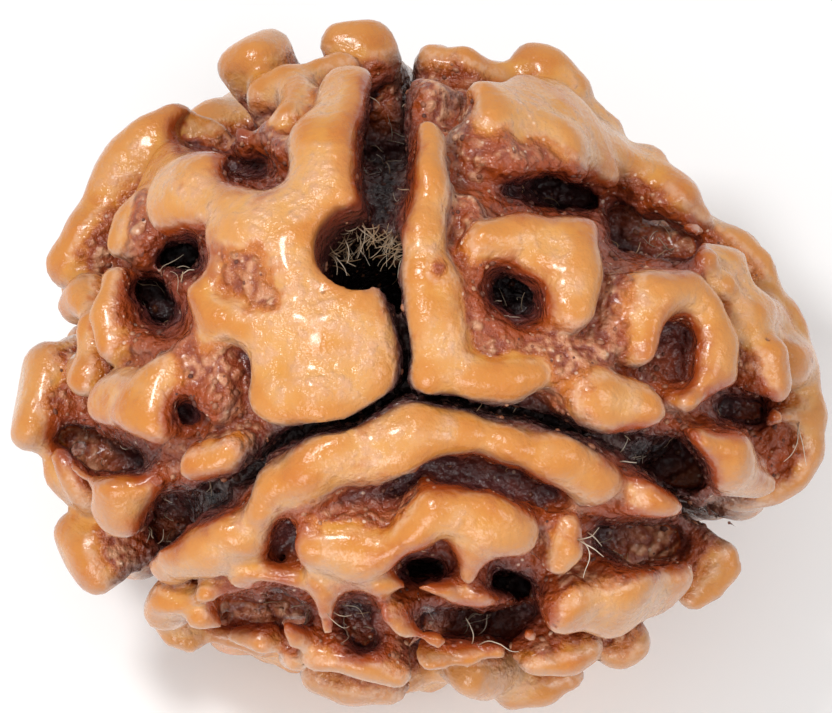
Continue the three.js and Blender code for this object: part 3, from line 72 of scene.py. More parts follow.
# Ridges: name, crest height above the valley floor, then (u, v, half width) along the crest
RIDGES: list[Level] = [
    ("shoulder block", 1.3, [(-6.0, 4.72, 0.84), (-5.15, 4.68, 0.8), (-5.9, 4.0, 0.9)]),
    ("shoulder block arm", 1.2, [(-5.6, 3.85, 0.8), (-4.4, 3.75, 0.72), (-3.4, 3.75, 0.75),
     (-2.7, 4.1, 0.75)]),
    ("tall ridge", 1.35, [(-1.72, 6.6, 0.82), (-2.05, 5.7, 0.95), (-2.2, 4.9, 0.97)]),
    ("tall ridge foot", 1.2, [(-2.2, 4.9, 0.95), (-2.6, 4.0, 0.85), (-3.0, 3.0, 0.7)]),
    ("bore seat", 1.12, [(-1.75, 1.7, 0.85), (-1.75, 2.6, 0.9), (-1.6, 3.5, 0.75)]),
    ("plate top edge", 1.15, [(-3.3, 3.1, 0.58), (-4.3, 3.15, 0.58), (-5.0, 3.05, 0.5)]),
    ("plate left edge", 1.05, [(-5.0, 3.0, 0.42), (-5.1, 2.3, 0.32), (-5.4, 1.7, 0.45)]),
    ("plate nose", 1.2, [(-5.5, 1.6, 0.54), (-4.9, 1.1, 0.58), (-4.1, 0.85, 0.62), (-3.3, 0.95, 0.65)]),
    ("plate beside bore", 1.15, [(-3.05, 3.0, 0.5), (-3.05, 2.1, 0.58), (-2.75, 1.3, 0.62)]),
    ("plate under bore", 1.15, [(-2.7, 1.1, 0.6), (-1.9, 1.05, 0.62), (-1.2, 1.05, 0.58)]),
    ("plate middle", 1.15, [(-3.4, 0.8, 0.7), (-2.3, 0.5, 0.8), (-1.28, 0.35, 0.72)]),
    ("plate lower", 1.2, [(-3.6, 0.0, 0.78), (-2.3, -0.1, 0.8), (-1.28, -0.15, 0.74)]),
    ("plate lip", 1.35, [(-1.22, -0.5, 0.66), (-2.3, -0.9, 0.74), (-3.6, -1.05, 0.76)]),
    ("bore shoulder", 1.15, [(-2.75, 3.2, 0.45), (-2.4, 3.95, 0.5), (-1.6, 4.25, 0.45)]),
    ("left crest", 1.3, [(-5.9, 5.9, 0.55), (-6.6, 5.5, 0.75), (-7.1, 4.8, 0.85), (-7.5, 3.95, 0.8)]),
    ("left crest knob", 1.35, [(-7.95, 3.4, 0.72), (-8.35, 2.7, 0.62), (-8.6, 2.3, 0.5)]),
    ("left crest tail", 1.2, [(-7.2, 3.5, 0.42), (-7.55, 2.9, 0.36)]),
    ("left crest back", 1.1, [(-6.0, 6.2, 0.38), (-5.2, 6.0, 0.28), (-4.6, 5.75, 0.32)]),
    ("left column", 1.25, [(-7.65, 2.1, 0.42), (-7.75, 1.2, 0.42), (-7.7, 0.4, 0.42)]),
    ("left knuckle", 1.4, [(-6.6, -0.5, 0.62), (-6.85, -1.3, 0.74)]),
    ("left knuckle side", 1.35, [(-6.85, -1.05, 0.84), (-7.6, -1.0, 0.84)]),
    ("far left cheek", 1.35, [(-8.8, -0.4, 0.6), (-8.85, -1.2, 0.58)]),
    ("left hem", 1.25, [(-8.55, -2.5, 0.32), (-7.9, -2.8, 0.34)]),
    ("far left bud", 1.2, [(-8.5, 0.35, 0.45)]),
    ("oval knob", 1.3, [(-5.5, -2.68, 0.55), (-4.75, -2.4, 0.48)]),
    ("lower left knob", 1.4, [(-7.5, -3.15, 0.55), (-7.4, -3.75, 0.66)]),
    ("lower left knob slope", 0.8, [(-7.3, -3.3, 0.5), (-6.7, -3.1, 0.45)]),
    ("lower lip left", 1.3, [(-3.5, -3.0, 0.48), (-2.7, -2.7, 0.6), (-1.6, -2.35, 0.68),
     (-0.5, -2.1, 0.66), (0.2, -1.75, 0.68)]),
    ("lower lip right", 1.2, [(0.3, -1.8, 0.66), (1.3, -1.85, 0.52), (2.2, -2.1, 0.48)]),
    ("lower lip end", 1.35, [(-3.7, -3.2, 0.48), (-3.95, -3.75, 0.54)]),
    ("right finger", 1.4, [(2.5, -2.2, 0.48), (3.6, -2.5, 0.58), (4.75, -3.05, 0.6)]),
    ("lower left ridge", 1.45, [(-4.75, -4.35, 0.72), (-5.5, -4.7, 0.92), (-6.15, -5.1, 0.74)]),
    ("lower left link", 1.0, [(-4.0, -4.0, 0.45), (-4.3, -4.5, 0.45), (-5.0, -4.5, 0.45)]),
    ("centre block", 1.45, [(-2.45, -4.8, 0.72), (-1.6, -4.85, 0.76), (-0.7, -4.85, 0.55)]),
    ("big ledge", 1.6, [(0.75, -3.72, 0.64), (1.6, -4.0, 0.82), (2.55, -4.28, 0.64)]),
    ("big ledge left", 1.45, [(0.6, -3.8, 0.6), (0.0, -4.4, 0.48), (-0.4, -4.75, 0.34)]),
    ("big ledge spine", 1.45, [(1.6, -4.2, 0.6), (1.4, -4.8, 0.42), (1.3, -5.4, 0.22)]),
    ("tiny knob", 1.3, [(0.35, -5.75, 0.22), (0.75, -5.85, 0.24)]),
    ("small finger", 1.35, [(4.0, -4.25, 0.28), (3.9, -4.7, 0.38), (3.65, -5.12, 0.38)]),
    ("wedge knob", 1.55, [(5.95, -3.1, 0.34), (6.25, -3.5, 0.52), (5.8, -3.75, 0.5)]),
    ("molar", 1.6, [(3.85, -6.2, 0.74), (4.9, -5.85, 0.92), (6.05, -5.6, 0.76)]),
    ("low knob", 1.6, [(3.05, -7.62, 0.5), (3.7, -7.5, 0.44), (4.4, -7.2, 0.35)]),
    ("bottom block face", 1.5, [(-2.3, -7.35, 0.48), (-1.3, -7.5, 0.5), (-0.5, -7.75, 0.4)]),
    ("down spine", 1.45, [(-2.5, -5.7, 0.34), (-2.3, -6.2, 0.3), (-2.2, -6.7, 0.22)]),
    ("under ledge", 1.15, [(-4.3, -5.3, 0.32), (-3.3, -5.5, 0.32), (-2.2, -5.7, 0.28), (-1.0, -5.65, 0.27),
     (0.0, -5.6, 0.22)]),
    ("under crumb", 1.2, [(-3.3, -6.5, 0.37), (-3.0, -6.9, 0.32)]),
    ("stack layer one", 1.3, [(-6.35, -5.95, 0.2), (-5.3, -5.85, 0.22), (-4.5, -6.05, 0.2)]),
    ("stack layer two", 1.4, [(-6.35, -6.55, 0.2), (-5.3, -6.38, 0.24), (-4.6, -6.6, 0.24)]),
    ("low shelf", 1.4, [(-4.5, -6.85, 0.3), (-3.85, -7.0, 0.32)]),
    ("fold chain", 1.2, [(-4.5, -5.55, 0.2), (-3.9, -5.95, 0.24), (-3.4, -6.35, 0.26)]),
    ("hollow fold", 1.1, [(0.9, -5.95, 0.17), (1.6, -6.25, 0.19), (2.4, -6.0, 0.19)]),
    ("hollow fold two", 1.2, [(1.0, -6.8, 0.19), (1.9, -6.88, 0.2), (2.7, -6.65, 0.22)]),
    ("under fold", 1.5, [(-0.9, -6.35, 0.18), (-0.3, -6.75, 0.22), (0.5, -6.9, 0.22), (1.2, -6.6, 0.16)]),
    ("under fold three", 1.25, [(1.7, -5.85, 0.16), (2.4, -6.3, 0.18), (2.85, -6.9, 0.2)]),
    ("under fold 2", 1.3, [(0.3, -7.45, 0.24), (1.3, -7.45, 0.2), (2.1, -7.3, 0.22)]),
    ("under knob", 1.1, [(1.3, -6.0, 0.32), (1.8, -6.1, 0.28)]),
    ("central bar", 1.35, [(0.35, 5.75, 0.44), (0.22, 4.6, 0.52), (0.22, 3.4, 0.54), (0.38, 2.2, 0.62),
     (0.45, 1.0, 0.7), (0.56, 0.0, 0.72)]),
    ("central foot", 1.3, [(0.56, -0.15, 0.62), (1.5, -0.45, 0.58), (2.4, -0.5, 0.52), (3.0, -0.4, 0.42)]),
    ("upper right block", 1.45, [(2.1, 6.3, 0.9), (3.0, 6.05, 0.98), (3.75, 5.55, 0.92), (4.65, 4.9, 0.8),
     (5.5, 4.65, 0.68)]),
    ("upper right flank", 1.2, [(1.95, 6.05, 0.42), (2.9, 5.8, 0.6), (3.7, 5.3, 0.66), (4.5, 4.75, 0.66)]),
    ("upper right arm", 1.45, [(5.6, 4.6, 0.62), (6.4, 4.15, 0.74), (6.8, 3.6, 0.6)]),
    ("right rim strip", 1.3, [(6.9, 3.3, 0.4), (7.2, 2.6, 0.3), (7.8, 1.9, 0.28), (8.3, 1.3, 0.27),
     (8.45, 0.9, 0.24)]),
    ("seven top", 1.2, [(1.75, 3.15, 0.45), (2.7, 3.25, 0.58), (3.8, 3.25, 0.66)]),
    ("seven leg", 1.35, [(4.05, 3.2, 0.7), (4.08, 2.4, 0.66), (3.9, 1.5, 0.74)]),
    ("seven inner", 1.1, [(2.35, 2.85, 0.42), (3.1, 2.55, 0.4), (3.5, 2.25, 0.36)]),
    ("arch left leg", 1.2, [(5.85, 0.2, 0.38), (5.95, 1.0, 0.45), (6.2, 1.7, 0.52)]),
    ("arch top", 1.35, [(6.2, 1.75, 0.54), (6.7, 1.9, 0.56), (7.2, 1.4, 0.54)]),
    ("arch right leg", 1.3, [(7.2, 1.3, 0.6), (7.45, 0.5, 0.7), (7.35, -0.4, 0.62), (6.95, -1.0, 0.42)]),
    ("right ball", 1.45, [(4.75, -1.05, 0.86), (5.45, -1.25, 0.82)]),
    ("rim lobe", 1.6, [(8.8, 0.15, 0.6), (8.9, -0.5, 0.62)]),
    ("right thumb", 1.45, [(7.2, -2.1, 0.42), (7.9, -2.45, 0.68), (8.4, -3.0, 0.66)]),
    ("right flake", 1.2, [(8.5, -1.7, 0.2), (9.0, -1.45, 0.24), (9.4, -1.35, 0.2)]),
    ("thumbnail ridge", 1.25, [(-2.95, 6.75, 0.54), (-3.2, 6.2, 0.5)]),
]
# Knobs on the outline: name, then (u, v, half width), and the tip reaches half a width past each point
RIM_KNOBS: list[tuple[str, Trace]] = [
    ("top left ball", [(-3.9, 7.4, 0.85)]),
    ("top horn", [(-1.85, 8.1, 0.48), (-1.15, 7.95, 0.58)]),
    ("top finger", [(1.05, 7.2, 0.34), (1.22, 7.7, 0.38)]),
    ("top right lobe", [(2.75, 7.3, 0.45), (3.4, 7.22, 0.54), (4.05, 6.85, 0.58)]),
    ("back blob", [(4.5, 6.15, 0.36), (4.85, 5.85, 0.4)]),
    ("back blob two", [(5.5, 4.95, 0.34), (5.85, 5.12, 0.42)]),
    ("rim upper strip", [(7.3, 3.6, 0.3), (7.75, 3.1, 0.34), (8.1, 2.6, 0.32)]),
    ("rim upper lobe", [(8.5, 2.25, 0.4), (8.85, 1.85, 0.44)]),
    ("rim upper ridge", [(9.1, 1.3, 0.42), (9.5, 0.8, 0.48)]),
    ("right outer rim", [(9.72, -0.3, 0.38), (9.8, -1.3, 0.38), (9.72, -2.2, 0.42), (9.25, -2.9, 0.42)]),
    ("right thumb tip", [(8.75, -3.35, 0.5)]),
    ("right low knob", [(7.75, -4.35, 0.42), (7.55, -4.75, 0.46)]),
    ("right low fin", [(7.2, -5.35, 0.28), (8.1, -5.45, 0.28)]),
    ("right low fin two", [(6.9, -6.0, 0.28), (7.4, -5.9, 0.24)]),
    ("bottom right block", [(4.95, -7.05, 0.54), (5.5, -7.15, 0.54)]),
    ("bottom hem", [(2.3, -8.15, 0.34), (3.2, -8.25, 0.34), (3.9, -8.1, 0.38)]),
    ("bottom block", [(-2.3, -7.8, 0.66), (-1.55, -7.95, 0.62), (-0.75, -8.1, 0.56)]),
    ("bottom left fin", [(-3.9, -7.15, 0.34), (-4.7, -6.9, 0.32)]),
    ("stack fin one", [(-6.4, -6.0, 0.28), (-5.7, -6.0, 0.24)]),
    ("stack fin two", [(-6.45, -6.65, 0.28), (-5.6, -6.5, 0.22)]),
    ("stack fin three", [(-6.25, -7.15, 0.32), (-5.5, -7.0, 0.26)]),
    ("far lower left lobe", [(-8.4, -4.6, 0.72), (-8.1, -5.15, 0.7), (-7.6, -5.1, 0.5)]),
    ("far left lobe", [(-9.2, -0.55, 0.94), (-9.25, -1.4, 0.8)]),
    ("far left hem", [(-9.3, -2.3, 0.38), (-8.9, -2.85, 0.38), (-8.3, -3.05, 0.38)]),
    ("left wedge", [(-8.75, 2.35, 0.48)]),
    ("left crest edge", [(-5.95, 6.0, 0.55), (-6.6, 5.6, 0.62), (-7.2, 4.9, 0.62), (-7.6, 4.2, 0.6),
     (-8.0, 3.4, 0.6), (-8.4, 2.7, 0.55)]),
]
# Mounds: low rough ground between the ridges, listed as the ridges are
MOUNDS: list[Level] = [
    ("pit floor", 1.05, [(-4.25, 2.15, 0.85)]),
    ("crest fill", 0.95, [(-6.5, 4.9, 0.6), (-6.9, 4.0, 0.55), (-7.2, 3.2, 0.5)]),
    ("under brow", 0.85, [(1.7, 5.7, 0.9), (2.7, 5.4, 0.9), (3.7, 5.0, 0.8)]),
    ("right of bar", 0.62, [(1.3, 3.9, 0.5), (1.4, 2.7, 0.45), (1.55, 1.3, 0.5), (1.8, 0.6, 0.5),
     (2.6, 0.5, 0.6)]),
    ("mid right", 0.75, [(2.6, 0.5, 0.6), (3.4, -0.1, 0.65), (3.9, -0.5, 0.5)]),
    ("left of arch", 0.85, [(5.3, 1.9, 0.5), (5.3, 1.0, 0.55), (4.8, 0.2, 0.6)]),
    ("below foot", 0.9, [(2.2, -2.1, 0.5), (3.2, -2.3, 0.5)]),
    ("near arm", 0.55, [(5.6, 4.3, 0.6), (6.4, 3.8, 0.55)]),
    ("left mid", 0.85, [(-5.5, 0.2, 0.9), (-5.3, -0.7, 0.8)]),
    ("left below", 0.65, [(-7.0, 0.4, 0.4), (-6.6, 0.3, 0.4)]),
    ("brow left", 0.85, [(-3.3, 5.5, 0.6), (-3.7, 6.0, 0.55)]),
    ("top slope", 0.6, [(-0.35, 7.0, 0.6), (0.4, 6.8, 0.6), (1.2, 6.8, 0.5)]),
    ("low centre", 0.75, [(-2.6, -4.0, 0.5), (-1.2, -3.9, 0.55)]),
    ("low right", 0.8, [(2.9, -3.3, 0.5), (3.2, -4.0, 0.35)]),
    ("left flank", 0.7, [(-7.1, 3.0, 0.4), (-6.9, 3.4, 0.4)]),
    ("under finger", 0.8, [(4.6, -3.9, 0.35), (5.2, -3.9, 0.3)]),
    ("lip left", 0.9, [(-3.4, -3.4, 0.5), (-2.8, -3.2, 0.45), (-1.0, -2.9, 0.5)]),
]
# Sinks: deep dark places cut along the line of sight: name, bottom level, then (u, v, half width)
SINKS: list[Level] = [
    ("left dark", -1.5, [(-6.15, 2.62, 0.26), (-5.78, 2.62, 0.38)]),
    ("left dark low", -1.5, [(-6.6, 1.68, 0.36), (-6.35, 1.3, 0.38)]),
    ("seven hole", -1.4, [(2.2, 1.78, 0.34), (2.6, 1.5, 0.38)]),
    ("upper cleft", -1.4, [(-0.75, 6.55, 0.34), (-0.78, 5.4, 0.44), (-0.78, 4.5, 0.42),
     (-0.88, 3.7, 0.3)]),
    ("lower left dark", -1.0, [(-4.9, -3.35, 0.2), (-6.0, -3.75, 0.34), (-6.3, -4.2, 0.3)]),
    ("brow left dark", -0.8, [(-5.6, 5.75, 0.26), (-4.9, 5.65, 0.28)]),
    ("brow left dark low", -0.5, [(-4.5, 4.82, 0.17), (-3.9, 4.78, 0.2)]),
    ("under brow dark", -0.9, [(2.4, 4.25, 0.18), (3.3, 4.22, 0.26), (4.2, 4.05, 0.22)]),
    ("behind seven dark", -1.2, [(5.1, 3.65, 0.26), (5.3, 3.2, 0.36), (6.0, 3.05, 0.28), (6.6, 2.8, 0.3)]),
    ("right cleft dark", -1.6, [(5.5, -2.25, 0.32), (6.3, -2.4, 0.42), (6.8, -2.85, 0.4)]),
    ("right low dark", -1.5, [(4.75, -4.4, 0.3), (5.5, -4.55, 0.34), (6.3, -4.45, 0.3)]),
    ("ledge hole", -1.0, [(-0.1, -5.2, 0.22), (0.5, -5.15, 0.22)]),
    ("under hollow", -1.2, [(0.3, -6.42, 0.2), (1.2, -6.55, 0.19), (2.2, -6.52, 0.2), (2.8, -6.3, 0.15)]),
    ("under hollow two", -1.3, [(2.1, -5.45, 0.24), (2.7, -5.6, 0.24)]),
    ("under hollow three", -1.4, [(-1.5, -6.35, 0.36), (-1.3, -6.9, 0.26)]),
    ("under hollow four", 0.25, [(-3.9, -6.15, 0.3), (-4.6, -6.2, 0.24)]),
    ("far left dark", -1.2, [(-8.6, -1.9, 0.24), (-7.9, -2.3, 0.3), (-7.0, -2.5, 0.24)]),
    ("arch dark", 0.2, [(6.6, 0.6, 0.3), (6.6, -0.3, 0.28)]),
    ("knuckle dark", -0.2, [(-5.75, -1.3, 0.24)]),
    ("rim cavity", -1.1, [(7.8, -1.15, 0.3), (8.4, -1.25, 0.26)]),
    ("rim cavity low", 1.1, [(8.9, -2.05, 0.26), (9.0, -2.5, 0.24)]),
    ("above ledge", 0.1, [(0.6, -2.85, 0.16), (1.6, -2.85, 0.16), (2.4, -3.05, 0.16), (3.1, -3.45, 0.15)]),
    ("beside centre block", 0.2, [(-3.3, -4.3, 0.12), (-3.38, -4.8, 0.12)]),
    ("under block left", -0.8, [(-3.4, -5.95, 0.2), (-2.9, -6.3, 0.2)]),
]
# Notches: gaps cut across the outline, listed as the sinks are
NOTCHES: list[Level] = [
    ("saddle notch", 0.25, [(0.0, 7.65, 0.42), (0.42, 7.85, 0.28)]),
    ("left notch", -0.6, [(-8.7, 1.25, 0.45)]),
    ("left low notch", -0.3, [(-8.9, -3.6, 0.3)]),
    ("lower left notch", -0.3, [(-7.0, -6.0, 0.22)]),
    ("bottom left notch", -0.6, [(-3.3, -7.9, 0.3)]),
    ("ball notch", 0.3, [(-5.15, 6.75, 0.42)]),
    ("horn notch", 0.3, [(-2.72, 7.7, 0.22)]),
    ("lobe gap", 0.3, [(4.9, 6.7, 0.22)]),
    ("blob gap", 0.4, [(5.75, 5.65, 0.2)]),
    ("ridge gap", 0.4, [(6.75, 4.95, 0.16)]),
    ("bottom notch", -0.2, [(0.3, -8.6, 0.24)]),
    ("right low notch", -0.3, [(8.6, -4.4, 0.22)]),
    ("right fin gap", 0.1, [(8.0, -5.05, 0.13), (7.2, -5.0, 0.11)]),
    ("right fin gap two", 0.1, [(7.9, -5.8, 0.11), (7.0, -5.72, 0.1)]),
    ("stack gap one", 0.1, [(-6.95, -6.33, 0.11), (-5.9, -6.25, 0.1)]),
    ("stack gap two", 0.1, [(-6.85, -6.95, 0.11), (-5.8, -6.8, 0.1)]),
]
# Clefts: the seams where the seed's three segments meet, traced from their common point outwards
CLEFTS: list[list[tuple[float, float]]] = [
    [(-0.3, -0.75), (-0.25, 0.0), (-0.4, 1.0), (-0.6, 1.8), (-0.9, 2.9), (-0.85, 3.6), (-0.8, 4.4),
     (-0.75, 5.2), (-0.8, 6.3), (-0.6, 6.9)],
    [(-0.3, -0.75), (-0.9, -1.15), (-1.9, -1.6), (-3.2, -1.95), (-3.9, -2.3), (-4.4, -2.8), (-4.9, -3.3),
     (-5.8, -3.75), (-6.4, -4.3), (-7.0, -4.9)],
    [(-0.3, -0.75), (0.6, -1.0), (1.7, -1.25), (3.0, -1.45), (4.2, -1.85), (5.5, -2.3), (6.4, -2.45),
     (6.9, -3.2), (7.25, -3.6)],
]
# Bare patches: places on a crest where the wax is worn off to the crumbly ground: u, v and radius
BARE_PATCHES: Trace = [(-4.30, 2.20, 1.00), (-3.95, 1.70, 0.80), (0.62, 2.30, 0.50)]


def unit(vector: Array) -> Array:
    """Returns the vector at length one."""
    return vector / np.linalg.norm(vector)


def blend_solids(first: Array, second: Array, width: float) -> Array:
    """Joins two distance fields with a soft fillet.

    Args:
        first: field of the first solid.
        second: field of the second solid.
        width: how far the fillet reaches.

    Returns:
        The field of the joined solid.
    """
    closeness = np.maximum(width - np.abs(first - second), 0) / width
    return np.minimum(first, second) - closeness * closeness * width * 0.25


def carve(solid: Array, hole: Array, width: float) -> Array:
    """Returns the field of a solid with a hole taken out, its brink rounded over the width."""
    return -blend_solids(-solid, hole, width)


def drawn(points: Array) -> tuple[Array, Array, Array]:
    """Returns where the line of sight shows points on the drawing plane, and their depth towards the eye."""
    depth = points @ TOWARDS
    scale = EYE_DISTANCE / (EYE_DISTANCE - depth)
    return (points @ RIGHT) * scale, (points @ UP) * scale, depth


def sight_line(across: float, along: float, front: float, behind: float, stride: float) -> Array:
    """Walks the line of sight through a point of the drawing plane.

    Args:
        across: the point's u.
        along: the point's v.
        front: how far before the point the walk starts.
        behind: how far past the point it ends.
        stride: the length of a step.

    Returns:
        The points of the walk, nearest to the eye first.
    """
    eye = TOWARDS * EYE_DISTANCE
    ray = unit(RIGHT * across + UP * along - eye)
    return eye + ray * np.arange(EYE_DISTANCE - front, EYE_DISTANCE + behind, stride)[:, None]


def legs_of(trace: Trace) -> Iterable[tuple[Station, Station]]:
    """Returns both ends of each straight leg of a trace, where a single station is a leg of no length."""
    return zip(trace, trace[1:] or trace)


def beside_leg(here: Station, there: Station, across: Array, along: Array) -> tuple[Array, Array]:
    """Returns the distance of points on the drawing plane to a leg, and its half width beside them."""
    du, dv = there[0] - here[0], there[1] - here[1]
    u, v = across - here[0], along - here[1]
    share = np.clip((u * du + v * dv) / max(TINY, du * du + dv * dv), 0, 1)
    return np.hypot(u - share * du, v - share * dv), here[2] * (1 - share) + there[2] * share


def trace_gap(trace: Trace, across: Array, along: Array) -> Array:
    """Measures how far points on the drawing plane are from the edge of a traced place.

    Args:
        trace: the place's stations, each with its half width.
        across: the points' places to the right.
        along: the points' places upwards.

    Returns:
        The distances in millimetres, below nought inside the place.
    """
    beside = (beside_leg(here, there, across, along) for here, there in legs_of(trace))
    return np.min([gap - width for gap, width in beside], axis=0)


class Dice:
    """A fixed run of numbers between 0 and 1, the same one that shapes the solid."""

    STEP = 48271
    SPAN = 2147483647

    def __init__(self, seed: int) -> None:
        """Starts the run at a seed number."""
        self._state = seed

    def roll(self) -> float:
        """Returns the next number of the run."""
        self._state = (self._state * self.STEP) % self.SPAN
        return self._state / self.SPAN

    def within(self, span: tuple[float, float]) -> float:
        """Returns a number from a span, given as its least value and the most that is added to it."""
        return span[0] + span[1] * self.roll()


@dataclass(frozen=True)
class Body:
    """The seed's smooth body under its ridges: its outline, its valley floor and its grain."""

    outline: tuple[float, ...] = (
        (9.75, 9.2, 8.2, 7.5, 7.7, 7.8, 8.0, 8.0, 8.1, 8.5, 8.8, 9.0)
        + (9.0, 9.6, 9.3, 9.2, 8.5, 8.4, 8.4, 8.5, 8.7, 8.7, 9.1, 9.9)
    )
    rim_crest: float = 1.4
    depth_facing: float = 6.95
    depth_below: float = 6.3
    bulge: float = 2.6
    middle_level: float = 0.7
    foot: float = 7.75

    def reach(self, across: Array, along: Array) -> Array:
        """Gives how far the outline reaches in the direction of points of the drawing plane.

        Args:
            across: the points' u.
            along: the points' v.

        Returns:
            The distance from the middle to the outline in each direction.
        """
        reaches = np.array(self.outline)
        steps = len(reaches)
        turn = np.arctan2(along, across) / (2 * math.pi) * steps
        turn = np.where(turn < 0, turn + steps, turn)
        before = np.floor(turn).astype(int) % steps
        ease = (1 - np.cos(math.pi * (turn - np.floor(turn)))) / 2
        return reaches[before] * (1 - ease) + reaches[(before + 1) % steps] * ease

    def floor(self, direction: Array) -> Array:
        """Returns the distance from the middle to the valley floor in each direction."""
        x, y, z = direction[..., 0], direction[..., 1], direction[..., 2]
        across, along, depth = direction @ RIGHT, direction @ UP, direction @ TOWARDS
        flat = np.sqrt(across * across + along * along)
        deep = np.where(depth > 0, self.depth_facing, self.depth_below)
        inside = (flat / (self.reach(across, along) - self.rim_crest)) ** self.bulge
        smooth = (inside + (np.abs(depth) / deep) ** self.bulge) ** (-1 / self.bulge)
        swell = 0.10 * np.sin(3.1 * x + 1.0) * np.sin(2.7 * y + 0.4)
        return smooth + swell + 0.08 * np.sin(3.7 * z + 2.0) * np.sin(2.9 * x - 0.7)

    def middle(self, direction: Array) -> Array:
        """Returns the point at the middle level of the ridges in a direction."""
        return direction * (self.floor(direction) + self.middle_level)[..., None]

    @staticmethod
    def bend(points: Array) -> Array:
        """Returns points carried along by the grain, so no ridge runs quite straight."""
        x, y, z = points[..., 0], points[..., 1], points[..., 2]
        drift_x = 0.10 * np.sin(1.9 * y + 1.1 * z + 0.3) + 0.06 * np.sin(3.7 * z - 2.3 * y + 1.0)
        drift_y = 0.10 * np.sin(2.1 * z + 0.9 * x + 1.7) + 0.06 * np.sin(3.3 * x + 2.9 * z + 0.2)
        drift_z = 0.10 * np.sin(1.7 * x - 1.3 * y + 2.9) + 0.06 * np.sin(3.9 * y - 2.1 * x + 0.9)
        return points + np.stack([drift_x, drift_y, drift_z], -1)

    @staticmethod
    def swing(points: Array) -> Array:
        """Returns the slow rise and fall of crest heights and widths at points."""
        x, y, z = points[..., 0], points[..., 1], points[..., 2]
        slow = 0.6 * np.sin(1.45 * x + 0.9 * y - 1.2 * z + 0.5) * np.sin(1.1 * y - 0.8 * x + 1.3)
        return slow + 0.4 * np.sin(2.7 * x - 1.9 * z + 1.1 * y)

    def tuck(self, across: float, along: float, width: float) -> tuple[float, float]:
        """Moves a traced point in from the outline, so a ridge there ends at the outline.

        Args:
            across: the point's u.
            along: the point's v.
            width: the ridge's half width there.

        Returns:
            The moved point's u and v.
        """
        length = math.hypot(across, along)
        if length < 1e-6:
            return across, along
        rim = float(self.floor(RIGHT * (across / length) + UP * (along / length))) + self.rim_crest
        turn = math.acos(min(1.0, (length + width) / rim)) + width / rim
        return across * rim * math.cos(turn) / length, along * rim * math.cos(turn) / length

    def seen(self, across: float, along: float, level: float, width: float = 0.0) -> Array:
        """Finds where the line of sight through a point of the drawing plane meets a level of the body.

        Args:
            across: the point's u.
            along: the point's v.
            level: height above the valley floor.
            width: half width of the ridge that runs there.

        Returns:
            The direction from the middle of the body to the point that is met.
        """
        path = sight_line(*self.tuck(across, along, width), front=13, behind=6, stride=0.05)
        far = np.linalg.norm(path, axis=1)
        above = far - self.floor(path / far[:, None]) - level
        met = np.nonzero(above < 0)[0]
        at = met[0] if len(met) else int(np.argmin(above))
        return path[at] / far[at]

    def room(self, direction: Array) -> float:
        """Returns the highest crest that stays inside the outline and above the ground in a direction."""
        across, along = float(direction @ RIGHT), float(direction @ UP)
        ground = float(self.floor(direction))
        room = float(self.reach(across, along)) / math.hypot(across, along) - ground - 0.05
        if direction[2] < 0:
            room = min(room, (self.foot - 0.2) / -direction[2] - ground)
        return room


@dataclass
class Run:
    """One raised or sunken form: a path with its half widths, and its level over the valley floor."""

    body: Body
    level: float
    stations: list[tuple[Array, float]]
    fillet: float
    points: list[Array] = field(init=False)
    widths: list[float] = field(init=False)

    def __post_init__(self) -> None:
        """Places the path's points on the body's middle level, and gives a single point a short length."""
        self.widths = [width for _, width in self.stations]
        self.points = [self.body.bend(self.body.middle(direction)) for direction, _ in self.stations]
        if len(self.points) == 1:
            self.points.append(self.points[0] + 1e-4)
            self.widths.append(self.widths[0])

    def legs(self) -> range:
        """Returns the numbers of the path's straight legs."""
        return range(len(self.points) - 1)

    def nears(self, point: Array, width: float, gap: float) -> bool:
        """Tells whether a knob of a width at a point comes closer to the path than a gap."""
        return any(
            leg_distance(point, self.points[i], self.points[i + 1])
            < max(self.widths[i], self.widths[i + 1]) + width + gap
            for i in self.legs()
        )


def leg_distance(point: Array, start: Array, end: Array) -> float:
    """Returns the distance from a point to a straight leg."""
    leg = end - start
    share = min(1.0, max(0.0, float((point - start) @ leg) / max(TINY, float(leg @ leg))))
    return float(np.linalg.norm(point - (start + share * leg)))


